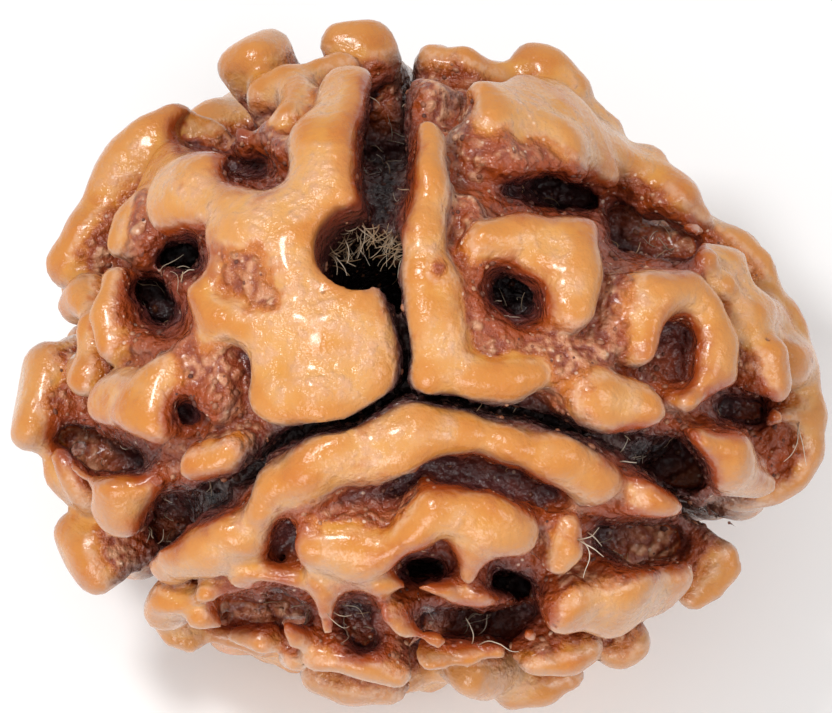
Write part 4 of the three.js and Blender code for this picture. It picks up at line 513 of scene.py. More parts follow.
@dataclass
class Growth:
    """Every run of the seed: the traced ones, and the net of knobs over its unseen sides."""

    body: Body
    seed: int = 20817
    ridge_fillet: float = 0.5
    mound_fillet: float = 0.6
    notch_rise: float = 0.05
    rim_rise: float = 0.14
    # Clefts and their lips, where a pair is a span for the dice: its least value and the most they add
    lower_pole: tuple[float, float, float] = (0.10, 0.22, -0.97)
    cleft_stride: float = 1.3
    cleft_stray: float = 0.09
    lip_offset: tuple[float, float] = (0.78, 0.18)
    lip_width: tuple[float, float] = (0.46, 0.16)
    lip_crest: tuple[float, float] = (1.1, 0.45)
    lip_joined: float = 0.6
    # Knobs on an even lattice over the sides that aren't traced
    lattice_radius: float = 9.0
    spacing: float = 1.95
    packing: float = 0.866
    traced_from: float = 0.45
    knob_stray: float = 0.11
    knob_width: tuple[float, float] = (0.44, 0.30)
    knob_crest: tuple[float, float] = (1.15, 0.8)
    knob_least: float = 0.45
    # Links between neighbouring knobs, and the short spur of each knob
    link_share: float = 0.72
    link_reach: float = 3.0
    link_stray: float = 0.12
    link_neck: tuple[float, float] = (0.62, 0.3)
    link_drop: float = 0.05
    link_sag: float = 0.35
    link_end: float = 0.85
    spur_lean: tuple[float, float] = (0.06, 0.05)
    spur_end: float = 0.8
    # Feet: the angle of each toe in degrees and how far out it is, then what both ends share
    foot_places: tuple[tuple[float, float], ...] = ((25, 2.9), (148, 3.0), (262, 2.9))
    foot_crest: float = 1.75
    foot_depths: tuple[float, float] = (7.9, 7.7)
    foot_widths: tuple[float, float] = (1.0, 0.85)
    heel_beyond: float = 0.9
    heel_turn: float = 0.25

    def __post_init__(self) -> None:
        """Lays out the traced runs, then the clefts, the net and the feet."""
        self.dice = Dice(self.seed)
        self.mounds = [self._traced(item, self.mound_fillet, False) for item in MOUNDS]
        self.ridges = [self._traced(item, self.ridge_fillet, True) for item in RIDGES]
        self.ridges += [self._rim_knob(trace) for _, trace in RIM_KNOBS]
        self.notches = [self._notch(level, trace) for _, level, trace in NOTCHES]
        self.clefts: list[list[Array]] = []
        lips = self._clefts_and_lips()
        net = self._net(lips)
        self.ridges = self.ridges + lips + net + self._feet()

    def _traced(self, item: Level, fillet: float, tucked: bool) -> Run:
        """Returns a traced ridge or mound as a run on the body."""
        _, level, trace = item
        stations = [(self.body.seen(u, v, level, w if tucked else 0.0), w) for u, v, w in trace]
        return Run(self.body, level, stations, fillet)

    def _notch(self, level: float, trace: Trace) -> Run:
        """Returns a notch of the outline, a little towards the eye."""
        ways = [unit(RIGHT * u + UP * v + TOWARDS * self.notch_rise * math.hypot(u, v)) for u, v, _ in trace]
        return Run(self.body, level, [(way, row[2]) for way, row in zip(ways, trace)], self.ridge_fillet)

    def _rim_knob(self, trace: Trace) -> Run:
        """Returns a knob of the outline, a little towards the eye, that reaches past its traced points."""
        flat = [RIGHT * u + UP * v for u, v, _ in trace]
        ways = [unit(place + TOWARDS * self.rim_rise * np.linalg.norm(place)) for place in flat]
        tips = [
            np.linalg.norm(place) + row[2] - self.body.floor(way)
            for place, way, row in zip(flat, ways, trace)
        ]
        stations = [(way, row[2]) for way, row in zip(ways, trace)]
        return Run(self.body, float(np.mean(tips)), stations, self.ridge_fillet)

    def _clefts_and_lips(self) -> list[Run]:
        """Carries each cleft on to the lower pole and grows a broken lip along both its sides.

        Returns:
            The lips.
        """
        pole = unit(np.array(self.lower_pole))
        lips: list[Run] = []
        for traced in CLEFTS:
            ways = [self.body.seen(u, v, 1.0) for u, v in traced]
            last = ways[-1]
            arc = math.acos(float(last @ pole))
            side = unit(np.cross(last, pole))
            count = max(2, int(arc * self.lattice_radius / self.cleft_stride))
            for step in range(1, count + 1):
                share = step / count
                way = (math.sin((1 - share) * arc) * last + math.sin(share * arc) * pole) / math.sin(arc)
                stray = (self.dice.roll() - 0.5) * self.cleft_stray * math.sin(math.pi * share)
                ways.append(unit(way + side * stray))
            self.clefts.append(ways)
            for hand in (-1, 1):
                lips.extend(self._lip(ways, len(traced) + 2, hand))
        return lips

    def _lip(self, ways: list[Array], first: int, hand: int) -> list[Run]:
        """Grows the lengths of lip on one side of a cleft, from its first untraced stations on."""
        stations: list[tuple[Array, float]] = []
        for i in range(first, len(ways) - 1):
            aside = unit(np.cross(ways[i + 1] - ways[i - 1], ways[i]))
            off = self.dice.within(self.lip_offset) / self.lattice_radius
            width = self.dice.within(self.lip_width)
            stations.append((unit(ways[i] + aside * hand * off), width))
        runs: list[Run] = []
        at = 0
        while at < len(stations) - 1:
            length = 2 + int(self.dice.roll() * 3)
            part = stations[at : at + length + 1]
            if len(part) >= 2:
                crest = min([self.dice.within(self.lip_crest)] + [self.body.room(way) for way, _ in part])
                runs.append(Run(self.body, crest, part, self.ridge_fillet))
            at += length + int(self.dice.roll() > self.lip_joined)
        return runs

    def _over_sink(self, way: Array, width: float) -> bool:
        """Tells whether a knob would stand over one of the sinks, as seen along the line of sight."""
        across, along, depth = drawn(way * (float(self.body.floor(way)) + 1.0))
        place = np.array([across, along])
        return depth >= SINK_DEPTH and any(
            leg_distance(place, np.array(here[:2]), np.array(there[:2])) < max(here[2], there[2]) + width
            for _, _, trace in SINKS
            for here, there in legs_of(trace)
        )

    def _near_cleft(self, point: Array, gap: float) -> bool:
        """Tells whether a point lies closer to a cleft than a gap."""
        return any(
            leg_distance(point, self.body.middle(ways[i]), self.body.middle(ways[i + 1])) < gap
            for ways in self.clefts
            for i in range(len(ways) - 1)
        )

    def _knobs(self, lips: list[Run]) -> list[tuple[Array, float, float]]:
        """Spreads knobs evenly where nothing is traced.

        Args:
            lips: the lips along the clefts, which the knobs keep clear of.

        Returns:
            Each knob's direction, half width and crest.
        """
        dice = self.dice
        count = int(4 * math.pi * self.lattice_radius**2 / (self.spacing**2 * self.packing))
        golden = math.pi * (3 - math.sqrt(5))
        knobs: list[tuple[Array, float, float]] = []
        for i in range(count):
            height = 1 - (2 * i + 1) / count
            ring = math.sqrt(1 - height * height)
            way = np.array([ring * math.cos(i * golden), ring * math.sin(i * golden), height])
            stray = np.array([dice.roll() - 0.5, dice.roll() - 0.5, dice.roll() - 0.5]) * self.knob_stray
            width = dice.within(self.knob_width)
            crest = dice.within(self.knob_crest)
            way = unit(way + stray)
            if way @ TOWARDS > self.traced_from:
                continue
            point = self.body.middle(way)
            taken = (
                any(run.nears(point, width * 0.6, -0.15) for run in self.ridges + self.mounds)
                or any(run.nears(point, width, 0.1) for run in self.notches)
                or self._over_sink(way, width)
                or any(run.nears(point, width * 0.5, 0.05) for run in lips)
                or self._near_cleft(point, width + 0.15)
            )
            if not taken:
                knobs.append((way, width, max(self.knob_least, min(crest, self.body.room(way)))))
        return knobs

    def _net(self, lips: list[Run]) -> list[Run]:
        """Joins neighbouring knobs with lower links and gives each knob a short spur.

        Args:
            lips: the lips along the clefts.

        Returns:
            The knobs and the links between them.
        """
        dice = self.dice
        knobs = self._knobs(lips)
        middles = [self.body.middle(way) for way, _, _ in knobs]
        runs: list[Run] = []
        for i, (way, width, crest) in enumerate(knobs):
            others = sorted(
                (float(np.linalg.norm(middles[i] - middles[j])), j) for j in range(len(knobs)) if j != i
            )[:4]
            for gap, j in others:
                if j < i or gap > self.link_reach or dice.roll() > self.link_share:
                    continue
                far_way, far_width, far_crest = knobs[j]
                half = unit(way + far_way)
                aside = unit(np.cross(half, far_way - way))
                half = unit(half + aside * ((dice.roll() - 0.5) * self.link_stray))
                neck = min(width, far_width) * dice.within(self.link_neck)
                low = min(crest, far_crest) - self.link_drop - self.link_sag * dice.roll()
                if any(run.nears(self.body.middle(half), neck, -0.25) for run in self.ridges):
                    continue
                stations = [(way, width * self.link_end), (half, neck), (far_way, far_width * self.link_end)]
                runs.append(Run(self.body, low, stations, self.ridge_fillet))
            turn = dice.roll() * 2 * math.pi
            first = unit(np.cross(way, np.array([0.3, 0.2, 0.9])))
            second = np.cross(way, first)
            lean = dice.within(self.spur_lean)
            spur = unit(way + (first * math.cos(turn) + second * math.sin(turn)) * lean)
            stations = [(way, width), (spur, width * self.spur_end)]
            runs.append(Run(self.body, crest, stations, self.ridge_fillet))
        return runs

    def _feet(self) -> list[Run]:
        """Returns the three low points round the weight that the seed rests on."""
        runs: list[Run] = []
        for degrees, toe in self.foot_places:
            stations: list[tuple[Array, float]] = []
            for end, (depth, width) in enumerate(zip(self.foot_depths, self.foot_widths)):
                far, turn = toe + end * self.heel_beyond, math.radians(degrees) + end * self.heel_turn
                way = unit(np.array([far * math.cos(turn), far * math.sin(turn), -depth]))
                stations.append((way, width))
            runs.append(Run(self.body, self.foot_crest, stations, self.ridge_fillet))
        return runs


@dataclass
class Relief:
    """The whole seed as a distance field on a fine grid, with the bore, the sinks and the clefts cut out."""

    body: Body
    growth: Growth
    step: float
    half_sizes: tuple[float, float, float] = (11.2, 10.0, 9.4)
    bore_radius: float = 1.05
    bore_lean: float = math.radians(10)
    cut_fillet: float = 0.12
    sink_fillet: float = 0.55
    cleft_floor: float = -1.0
    cleft_width: float = 0.10
    cleft_widening: float = 0.012
    cleft_steps: int = 9
    open_ground: float = 1.6
    brink_reach: float = 0.9
    edge_radius: float = 0.55
    width_swing: float = 0.10
    crest_swing: float = 0.14
    sink_flare: float = 0.25

    def __post_init__(self) -> None:
        """Evaluates the field on the grid, and how far each point is under a crest and from a cleft."""
        self.low = -np.array(self.half_sizes)
        self.counts = np.ceil(2 * np.array(self.half_sizes) / self.step).astype(int) + 1
        lines = [self.low[i] + self.step * np.arange(self.counts[i]) for i in range(3)]
        self.points = np.stack(np.meshgrid(*lines, indexing="ij"), -1).astype(np.float32)
        far = np.linalg.norm(self.points, axis=-1) + 1e-6
        ways = self.points / far[..., None]
        ground = self.body.floor(ways).astype(np.float32)
        self.level = far - ground
        middles = ways * (ground + self.body.middle_level)[..., None]
        self.swing = self.body.swing(middles).astype(np.float32)
        self.middles = self.body.bend(middles).astype(np.float32)
        self.field = self.level.copy()
        self.under = np.full_like(self.level, self.open_ground)
        self.seam = np.full_like(self.level, self.open_ground)
        for run in self.growth.mounds:
            self._raise(run, False)
        for run in self.growth.ridges:
            self._raise(run, True)
        for run in self.growth.notches:
            self._notch(run)
        self._sinks()
        self.field = carve(self.field, self.off_bore(self.points) - self.bore_radius, self.cut_fillet)
        for ways_down in self.growth.clefts:
            self._cleft(ways_down)
        self.field = np.maximum(self.field, -(self.points[..., 2] + self.body.foot))

    def _window(self, run: Run, leg: int, low: float, high: float, pad: float) -> tuple[slice, ...]:
        """Gives the grid cells round one leg of a run.

        Args:
            run: the run.
            leg: the leg's number.
            low: lowest level that the leg touches.
            high: highest level that it touches.
            pad: room to the sides.

        Returns:
            A slice for each axis of the grid.
        """
        corners = []
        for point in (run.points[leg], run.points[leg + 1]):
            way = unit(point)
            ground = self.body.floor(way)
            corners += [way * (ground + low), way * (ground + high)]
        first = ((np.min(corners, axis=0) - pad - self.low) / self.step).astype(int)
        last = ((np.max(corners, axis=0) + pad - self.low) / self.step).astype(int) + 2
        first, last = np.maximum(first, 0), np.minimum(last, self.counts)
        return tuple(slice(a, b) for a, b in zip(first, last))

    def _beside(self, run: Run, leg: int, cells: tuple[slice, ...]) -> tuple[Array, Array]:
        """Returns the distance of cells to a leg of a run, and the run's half width beside them."""
        start = run.points[leg].astype(np.float32)
        line = run.points[leg + 1].astype(np.float32) - start
        off = self.middles[cells] - start
        share = np.clip((off @ line) / max(TINY, float(line @ line)), 0, 1)
        width = run.widths[leg] + (run.widths[leg + 1] - run.widths[leg]) * share
        return np.linalg.norm(off - share[..., None] * line, axis=-1), width

    def _raise(self, run: Run, crested: bool) -> None:
        """Joins one ridge or mound to the body.

        Args:
            run: the ridge or mound.
            crested: whether depth under its crest is kept, as for a ridge.
        """
        pad = max(run.widths) + (self.brink_reach + 0.2 if crested else run.fillet + 0.3)
        for leg in run.legs():
            cells = self._window(run, leg, -1.0, run.level + 0.6, pad)
            gap, width = self._beside(run, leg, cells)
            swing, level = self.swing[cells], self.level[cells]
            width = width * (1 + self.width_swing * swing)
            crest = run.level + self.crest_swing * swing
            if crested:
                under = crest - level + np.clip((gap - width) / self.brink_reach, 0, 1)
                self.under[cells] = np.minimum(self.under[cells], under)
            edge = np.minimum(width, self.edge_radius)
            width = width * (1 - 0.10 * np.clip((crest - level) / np.maximum(crest, 0.2), 0, 1))
            crest = crest - 0.10 * (gap / width) ** 2
            aside, above = np.maximum(0, gap - (width - edge)), np.maximum(0, level - (crest - edge))
            self.field[cells] = blend_solids(self.field[cells], np.hypot(aside, above) - edge, run.fillet)

    def _notch(self, run: Run) -> None:
        """Cuts one notch across the outline."""
        for leg in run.legs():
            pad = max(run.widths) * 1.4 + run.fillet + 0.3
            cells = self._window(run, leg, run.level - 0.5, 3.2, pad)
            gap, width = self._beside(run, leg, cells)
            level = self.level[cells]
            width = width * (1 + self.width_swing * self.swing[cells])
            hole = np.maximum(gap - width * (1 + 0.15 * np.clip(level, 0, 1.5)), run.level - level)
            self.field[cells] = carve(self.field[cells], hole, run.fillet)

    def _sinks(self) -> None:
        """Cuts the sinks along the line of sight, each a little wider at its mouth."""
        across, along, depth = drawn(self.points)
        for _, bottom, trace in SINKS:
            near = (self.level < 3.6) & (self.level > bottom - 0.6) & (depth > -0.3)
            for here, there in legs_of(trace):
                pad = max(here[2], there[2]) * 1.5 + 0.9
                least, most = np.minimum(here, there) - pad, np.maximum(here, there) + pad
                inside = (across > least[0]) & (across < most[0]) & (along > least[1]) & (along < most[1])
                cells = np.nonzero(near & inside)
                level = self.level[cells]
                gap, width = beside_leg(here, there, across[cells], along[cells])
                hole = gap - width * (1 + self.sink_flare * np.clip(level, 0, 1.5))
                hole = np.maximum(np.maximum(hole, bottom - level), SINK_DEPTH - depth[cells])
                self.field[cells] = carve(self.field[cells], hole, self.sink_fillet)

    def off_bore(self, points: Array) -> Array:
        """Returns the distance of points to the axis of the bore."""
        axis = np.array([-math.sin(self.bore_lean), 0, math.cos(self.bore_lean)], np.float32)
        return np.linalg.norm(points - (points @ axis)[..., None] * axis, axis=-1)

    def sighted(self, across: float, along: float) -> Array:
        """Returns the first point of the seed on the line of sight through a point of the drawing plane."""
        path = sight_line(across, along, front=9, behind=5, stride=0.04)
        met = np.nonzero(self.sample(self.field, path) < 0)[0]
        return path[met[0]] if len(met) else path[len(path) // 2]

    def _cleft(self, ways: list[Array]) -> None:
        """Cuts one cleft, thin at the common point and wider further out."""
        stations = [
            (way, self.cleft_width + self.cleft_widening * min(i, self.cleft_steps))
            for i, way in enumerate(ways)
        ]
        run = Run(self.body, 2.0, stations, self.cut_fillet)
        for leg in run.legs():
            cells = self._window(run, leg, -1.4, 3.0, 0.9)
            gap, width = self._beside(run, leg, cells)
            width = width * (1 + self.width_swing * self.swing[cells])
            hole = np.maximum(gap - width, self.cleft_floor - self.level[cells])
            self.field[cells] = carve(self.field[cells], hole, self.cut_fillet)
            self.seam[cells] = np.minimum(self.seam[cells], gap)

    def fullness(self, radius: float) -> Array:
        """Gives the share of solid within a box round each grid point: high in a pit, low on a crest.

        Args:
            radius: half the side of the box.

        Returns:
            A value between 0 and 1 at each grid point.
        """
        full = (self.field < 0).astype(np.float32)
        reach = max(1, int(round(radius / self.step / 1.5)))
        for _ in range(2):
            for axis in range(3):
                full = self._running_mean(full, axis, reach)
        return full

    @staticmethod
    def _running_mean(values: Array, axis: int, reach: int) -> Array:
        """Returns the mean of each grid point and its neighbours along one axis."""
        moved = np.moveaxis(values, axis, 0)
        padded = np.concatenate([np.repeat(moved[:1], reach + 1, 0), moved, np.repeat(moved[-1:], reach, 0)])
        total = np.cumsum(padded, axis=0, dtype=np.float32)
        mean = (total[2 * reach + 1 :] - total[: -2 * reach - 1]) / (2 * reach + 1)
        return np.moveaxis(mean, 0, axis)

    def sample(self, grid: Array, points: Array) -> Array:
        """Reads a grid at free points, blending the eight grid points round each."""
        place = (points - self.low) / self.step
        cell = np.clip(np.floor(place).astype(int), 0, self.counts - 2)
        part = place - cell
        total = np.zeros(len(points))
        for corner in np.ndindex(2, 2, 2):
            weight = np.prod(np.where(corner, part, 1 - part), axis=1)
            total += weight * grid[tuple((cell + corner).T)]
        return total

    def skin(self) -> tuple[Array, Array]:
        """Wraps the solid in four-cornered faces, one corner in each grid cell that the surface crosses.

        Returns:
            The corners' places and the faces' corner numbers, facing outwards.
        """
        inside = self.field < 0
        nx, ny, nz = inside.shape
        held = np.zeros((nx - 1, ny - 1, nz - 1), np.int8)
        for a, b, c in np.ndindex(2, 2, 2):
            held += inside[a : nx - 1 + a, b : ny - 1 + b, c : nz - 1 + c]
        mixed = (held > 0) & (held < 8)
        cells = np.argwhere(mixed)
        numbers = -np.ones(mixed.shape, np.int64)
        numbers[mixed] = np.arange(len(cells))
        total, count = np.zeros((len(cells), 3)), np.zeros(len(cells))
        for corner in np.ndindex(2, 2, 2):
            for axis in range(3):
                if corner[axis]:
                    continue
                other = np.array(corner)
                other[axis] = 1
                near = self.field[tuple((cells + corner).T)].astype(np.float64)
                far = self.field[tuple((cells + other).T)].astype(np.float64)
                cut = (near < 0) != (far < 0)
                share = np.where(cut, near / (near - far + 1e-12), 0)
                total[cut] += (np.array(corner, float) + share[:, None] * (other - np.array(corner)))[cut]
                count[cut] += 1
        places = self.low + (cells + total / count[:, None]) * self.step
        return places, np.concatenate([self._faces_along(axis, inside, numbers) for axis in range(3)])

    @staticmethod
    def _faces_along(axis: int, inside: Array, numbers: Array) -> Array:
        """Returns the faces that cross the grid lines of one axis."""
        first, second = [other for other in range(3) if other != axis]
        head, tail = [slice(None)] * 3, [slice(None)] * 3
        head[axis], tail[axis] = slice(0, -1), slice(1, None)
        near, far = inside[tuple(head)], inside[tuple(tail)]
        at = np.argwhere(near != far)
        outward = near[tuple(at.T)] != (axis == 1)

        def cell(step_one: int, step_two: int) -> Array:
            """Returns the corner numbers of the cells beside the grid lines."""
            beside = at.copy()
            beside[:, first] += step_one
            beside[:, second] += step_two
            return numbers[tuple(beside.T)]

        faces = np.stack([cell(-1, -1), cell(0, -1), cell(0, 0), cell(-1, 0)], 1)
        faces[~outward] = faces[~outward][:, ::-1]
        return faces


def to_part(points: Array) -> Array:
    """Returns points of the seed's own frame in metres in the part's frame."""
    return (points + BODY_MIDDLE) * METRES


def mesh_from(name: str, places: Array, faces: Array) -> bpy.types.Mesh:
    """Makes a mesh from places in metres and faces that all have the same number of corners.

    Args:
        name: the mesh's name.
        places: one row of x, y and z for each corner.
        faces: one row of corner numbers for each face.

    Returns:
        The new mesh, with smooth faces.
    """
    mesh = bpy.data.meshes.new(name)
    sides = faces.shape[1]
    mesh.vertices.add(len(places))
    mesh.vertices.foreach_set("co", places.astype(np.float32).ravel())
    mesh.loops.add(faces.size)
    mesh.loops.foreach_set("vertex_index", faces.astype(np.int32).ravel())
    mesh.polygons.add(len(faces))
    mesh.polygons.foreach_set("loop_start", np.arange(0, faces.size, sides, dtype=np.int32))
    mesh.update(calc_edges=True)
    mesh.polygons.foreach_set("use_smooth", np.ones(len(faces), bool))
    mesh.validate()
    return mesh


def add_object(name: str, data: bpy.types.ID) -> bpy.types.Object:
    """Returns a new object in the scene that holds the data."""
    made = bpy.data.objects.new(name, data)
    bpy.context.scene.collection.objects.link(made)
    return made


def surface_of(mesh: bpy.types.Mesh) -> tuple[Array, Array]:
    """Returns a mesh's corners in the seed's own frame, and the directions that they face."""
    places, normals = np.empty(3 * len(mesh.vertices)), np.empty(3 * len(mesh.vertices))
    mesh.vertices.foreach_get("co", places)
    mesh.vertices.foreach_get("normal", normals)
    return places.reshape(-1, 3) / METRES - BODY_MIDDLE, normals.reshape(-1, 3)


def store(mesh: bpy.types.Mesh, name: str, values: Array) -> None:
    """Keeps one number for each corner of a mesh under a name."""
    attribute = mesh.attributes.new(name, "FLOAT", "POINT")
    attribute.data.foreach_set("value", values.astype(np.float32))


def apply_modifiers(made: bpy.types.Object) -> None:
    """Turns an object's evaluated modifiers into a plain mesh of its name and drops them."""
    depsgraph = bpy.context.evaluated_depsgraph_get()
    depsgraph.update()
    plain = bpy.data.meshes.new_from_object(made.evaluated_get(depsgraph), depsgraph=depsgraph)
    plain.name = made.name
    made.modifiers.clear()
    made.data = plain


def shown(made: bpy.types.Object) -> bpy.types.Object:
    """Rides a finished piece on the seed's only body and returns it."""
    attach(made, "root")
    return made


class Maths(Enum):
    """The sums that a number in a material or a tree can go through."""

    ADD = "ADD"
    SUBTRACT = "SUBTRACT"
    MULTIPLY = "MULTIPLY"
    MOST = "MAXIMUM"


class Nodes:
    """A node tree of a material or of geometry, with one method that adds any node."""

    def __init__(self, tree: bpy.types.NodeTree, geometry: bool = False) -> None:
        """Keeps the tree and what kind it is."""
        self.tree = tree
        self.geometry = geometry

    def add(self, kind: str, settings: dict[str, Any] | None = None, **values: Value) -> bpy.types.Node:
        """Adds a node, sets its settings, then its sockets.

        Args:
            kind: the node's type.
            settings: properties by name, where "stops" holds a ramp's places and colours.
            values: what each input gets, by its name with _ for a space, or by _ and its number.

        Returns:
            The new node.
        """
        node = self.tree.nodes.new(kind)
        for name, setting in (settings or {}).items():
            if name == "stops":
                self._set_stops(node.color_ramp, setting)
            else:
                setattr(node, name, setting)
        for name, value in values.items():
            self.link(value, self._input(node, name))
        return node

    @staticmethod
    def _input(node: bpy.types.Node, name: str) -> bpy.types.NodeSocket:
        """Returns a node's input by the name or number that add was given."""
        if name.startswith("_"):
            return node.inputs[int(name[1:])]
        wanted = name.replace("_", " ")
        for socket in node.inputs:
            if socket.name == wanted and socket.enabled:
                return socket
        return node.inputs[wanted]

    @staticmethod
    def _set_stops(ramp: bpy.types.ColorRamp, stops: Sequence[tuple[float, Colour]]) -> None:
        """Gives a ramp its stops."""
        while len(ramp.elements) > 1:
            ramp.elements.remove(ramp.elements[-1])
        for i, (place, colour) in enumerate(stops):
            element = ramp.elements[0] if i == 0 else ramp.elements.new(place)
            element.position = place
            element.color = (*colour, 1.0)

    def link(self, value: Value, socket: bpy.types.NodeSocket) -> None:
        """Links a socket to a Flow, or sets it to a plain value."""
        if isinstance(value, Flow):
            self.tree.links.new(value.socket, socket)
        elif isinstance(value, tuple) and len(value) == 3 and socket.type == "RGBA":
            socket.default_value = (*value, 1.0)
        else:
            socket.default_value = value

    def out(self, node: bpy.types.Node, name: str | int = 0) -> "Flow":
        """Returns a node's output, ready for sums."""
        return Flow(self, node.outputs[name])

    def flow(self, kind: str, settings: dict[str, Any] | None = None, **values: Value) -> "Flow":
        """Adds a node as add does and returns its first output."""
        return self.out(self.add(kind, settings, **values))

    def kept(self, name: str) -> "Flow":
        """Returns a number that is kept on the mesh under a name."""
        if self.geometry:
            return self.flow("GeometryNodeInputNamedAttribute", {"data_type": "FLOAT"}, Name=name)
        return self.out(self.add("ShaderNodeAttribute", {"attribute_name": name}), "Fac")

    def noise(self, place: "Flow", scale: float, detail: float) -> "Flow":
        """Returns a cloudy noise of a scale per metre."""
        return self.flow("ShaderNodeTexNoise", Vector=place, Scale=scale, Detail=detail)

    def mixed(self, share: Value, first: Value, second: Value) -> "Flow":
        """Returns a colour between two others.

        Args:
            share: 0 for the first colour and 1 for the second.
            first: a colour or a Flow.
            second: a colour or a Flow.

        Returns:
            The mixed colour.
        """
        node = self.add("ShaderNodeMix", {"data_type": "RGBA"}, _0=share, _6=first, _7=second)
        return self.out(node, 2)


class Flow:
    """A socket whose values can be used in Python sums, each of which adds its node."""

    def __init__(self, nodes: Nodes, socket: bpy.types.NodeSocket) -> None:
        """Keeps the tree and the socket."""
        self.nodes = nodes
        self.socket = socket

    def _sum(self, kind: Maths, first: Value, second: Value) -> "Flow":
        """Adds one sum and returns its result."""
        return self.nodes.flow("ShaderNodeMath", {"operation": kind.value}, _0=first, _1=second)

    def __add__(self, other: Value) -> "Flow":
        """Returns self + other."""
        return self._sum(Maths.ADD, self, other)

    def __radd__(self, other: Value) -> "Flow":
        """Returns other + self."""
        return self._sum(Maths.ADD, other, self)

    def __sub__(self, other: Value) -> "Flow":
        """Returns self - other."""
        return self._sum(Maths.SUBTRACT, self, other)

    def __rsub__(self, other: Value) -> "Flow":
        """Returns other - self."""
        return self._sum(Maths.SUBTRACT, other, self)

    def __mul__(self, other: Value) -> "Flow":
        """Returns self * other."""
        return self._sum(Maths.MULTIPLY, self, other)

    def __rmul__(self, other: Value) -> "Flow":
        """Returns other * self."""
        return self._sum(Maths.MULTIPLY, other, self)

    def most(self, other: Value) -> "Flow":
        """Returns the larger of self and other."""
        return self._sum(Maths.MOST, self, other)

    def ramp(self, start: Value, end: Value, low: float = 0.0, high: float = 1.0) -> "Flow":
        """Returns a smooth rise from low to high while self goes from start to end."""
        settings = {"interpolation_type": "SMOOTHSTEP"}
        return self.nodes.flow("ShaderNodeMapRange", settings, _0=self, _1=start, _2=end, _3=low, _4=high)


@dataclass(frozen=True)
class Palette:
    """The seed's colours, as light shares of red, green and blue."""

    straw: Colour = (0.67, 0.34, 0.096)
    honey: Colour = (0.61, 0.255, 0.040)
    peach: Colour = (0.62, 0.315, 0.165)
    amber: Colour = (0.51, 0.150, 0.016)
    burnt: Colour = (0.33, 0.055, 0.007)
    rose_tan: Colour = (0.66, 0.34, 0.19)
    rose_brown: Colour = (0.46, 0.150, 0.065)
    russet: Colour = (0.225, 0.042, 0.018)
    maroon: Colour = (0.090, 0.025, 0.024)
    umber: Colour = (0.170, 0.095, 0.080)
    # painted shade: the near black of the deepest hollows, the sinks and the bore
    deep_shade: Colour = (0.032, 0.018, 0.019)
    # painted shade: the grey tone of walls turned away from the light
    shade_grey: Colour = (0.35, 0.235, 0.180)
    # painted highlight: the colour of the glints and of the sheen along crest brinks
    painted_highlight: Colour = (0.84, 0.60, 0.45)


PALETTE = Palette()


@dataclass(frozen=True)
class Finish:
    """A finish by its name; each kind says what its surface's inputs are set or linked to."""

    name: str

    def build(self) -> bpy.types.Material:
        """Returns the material."""
        material = bpy.data.materials.new(self.name)
        material.use_nodes = True
        nodes = Nodes(material.node_tree)
        surface = material.node_tree.nodes["Principled BSDF"]
        for name, value in self.inputs(nodes).items():
            nodes.link(value, surface.inputs[name])
        return material

    def inputs(self, nodes: Nodes) -> dict[str, Value]:
        """Adds the finish's nodes and returns what the surface's inputs get, by name."""
        raise NotImplementedError


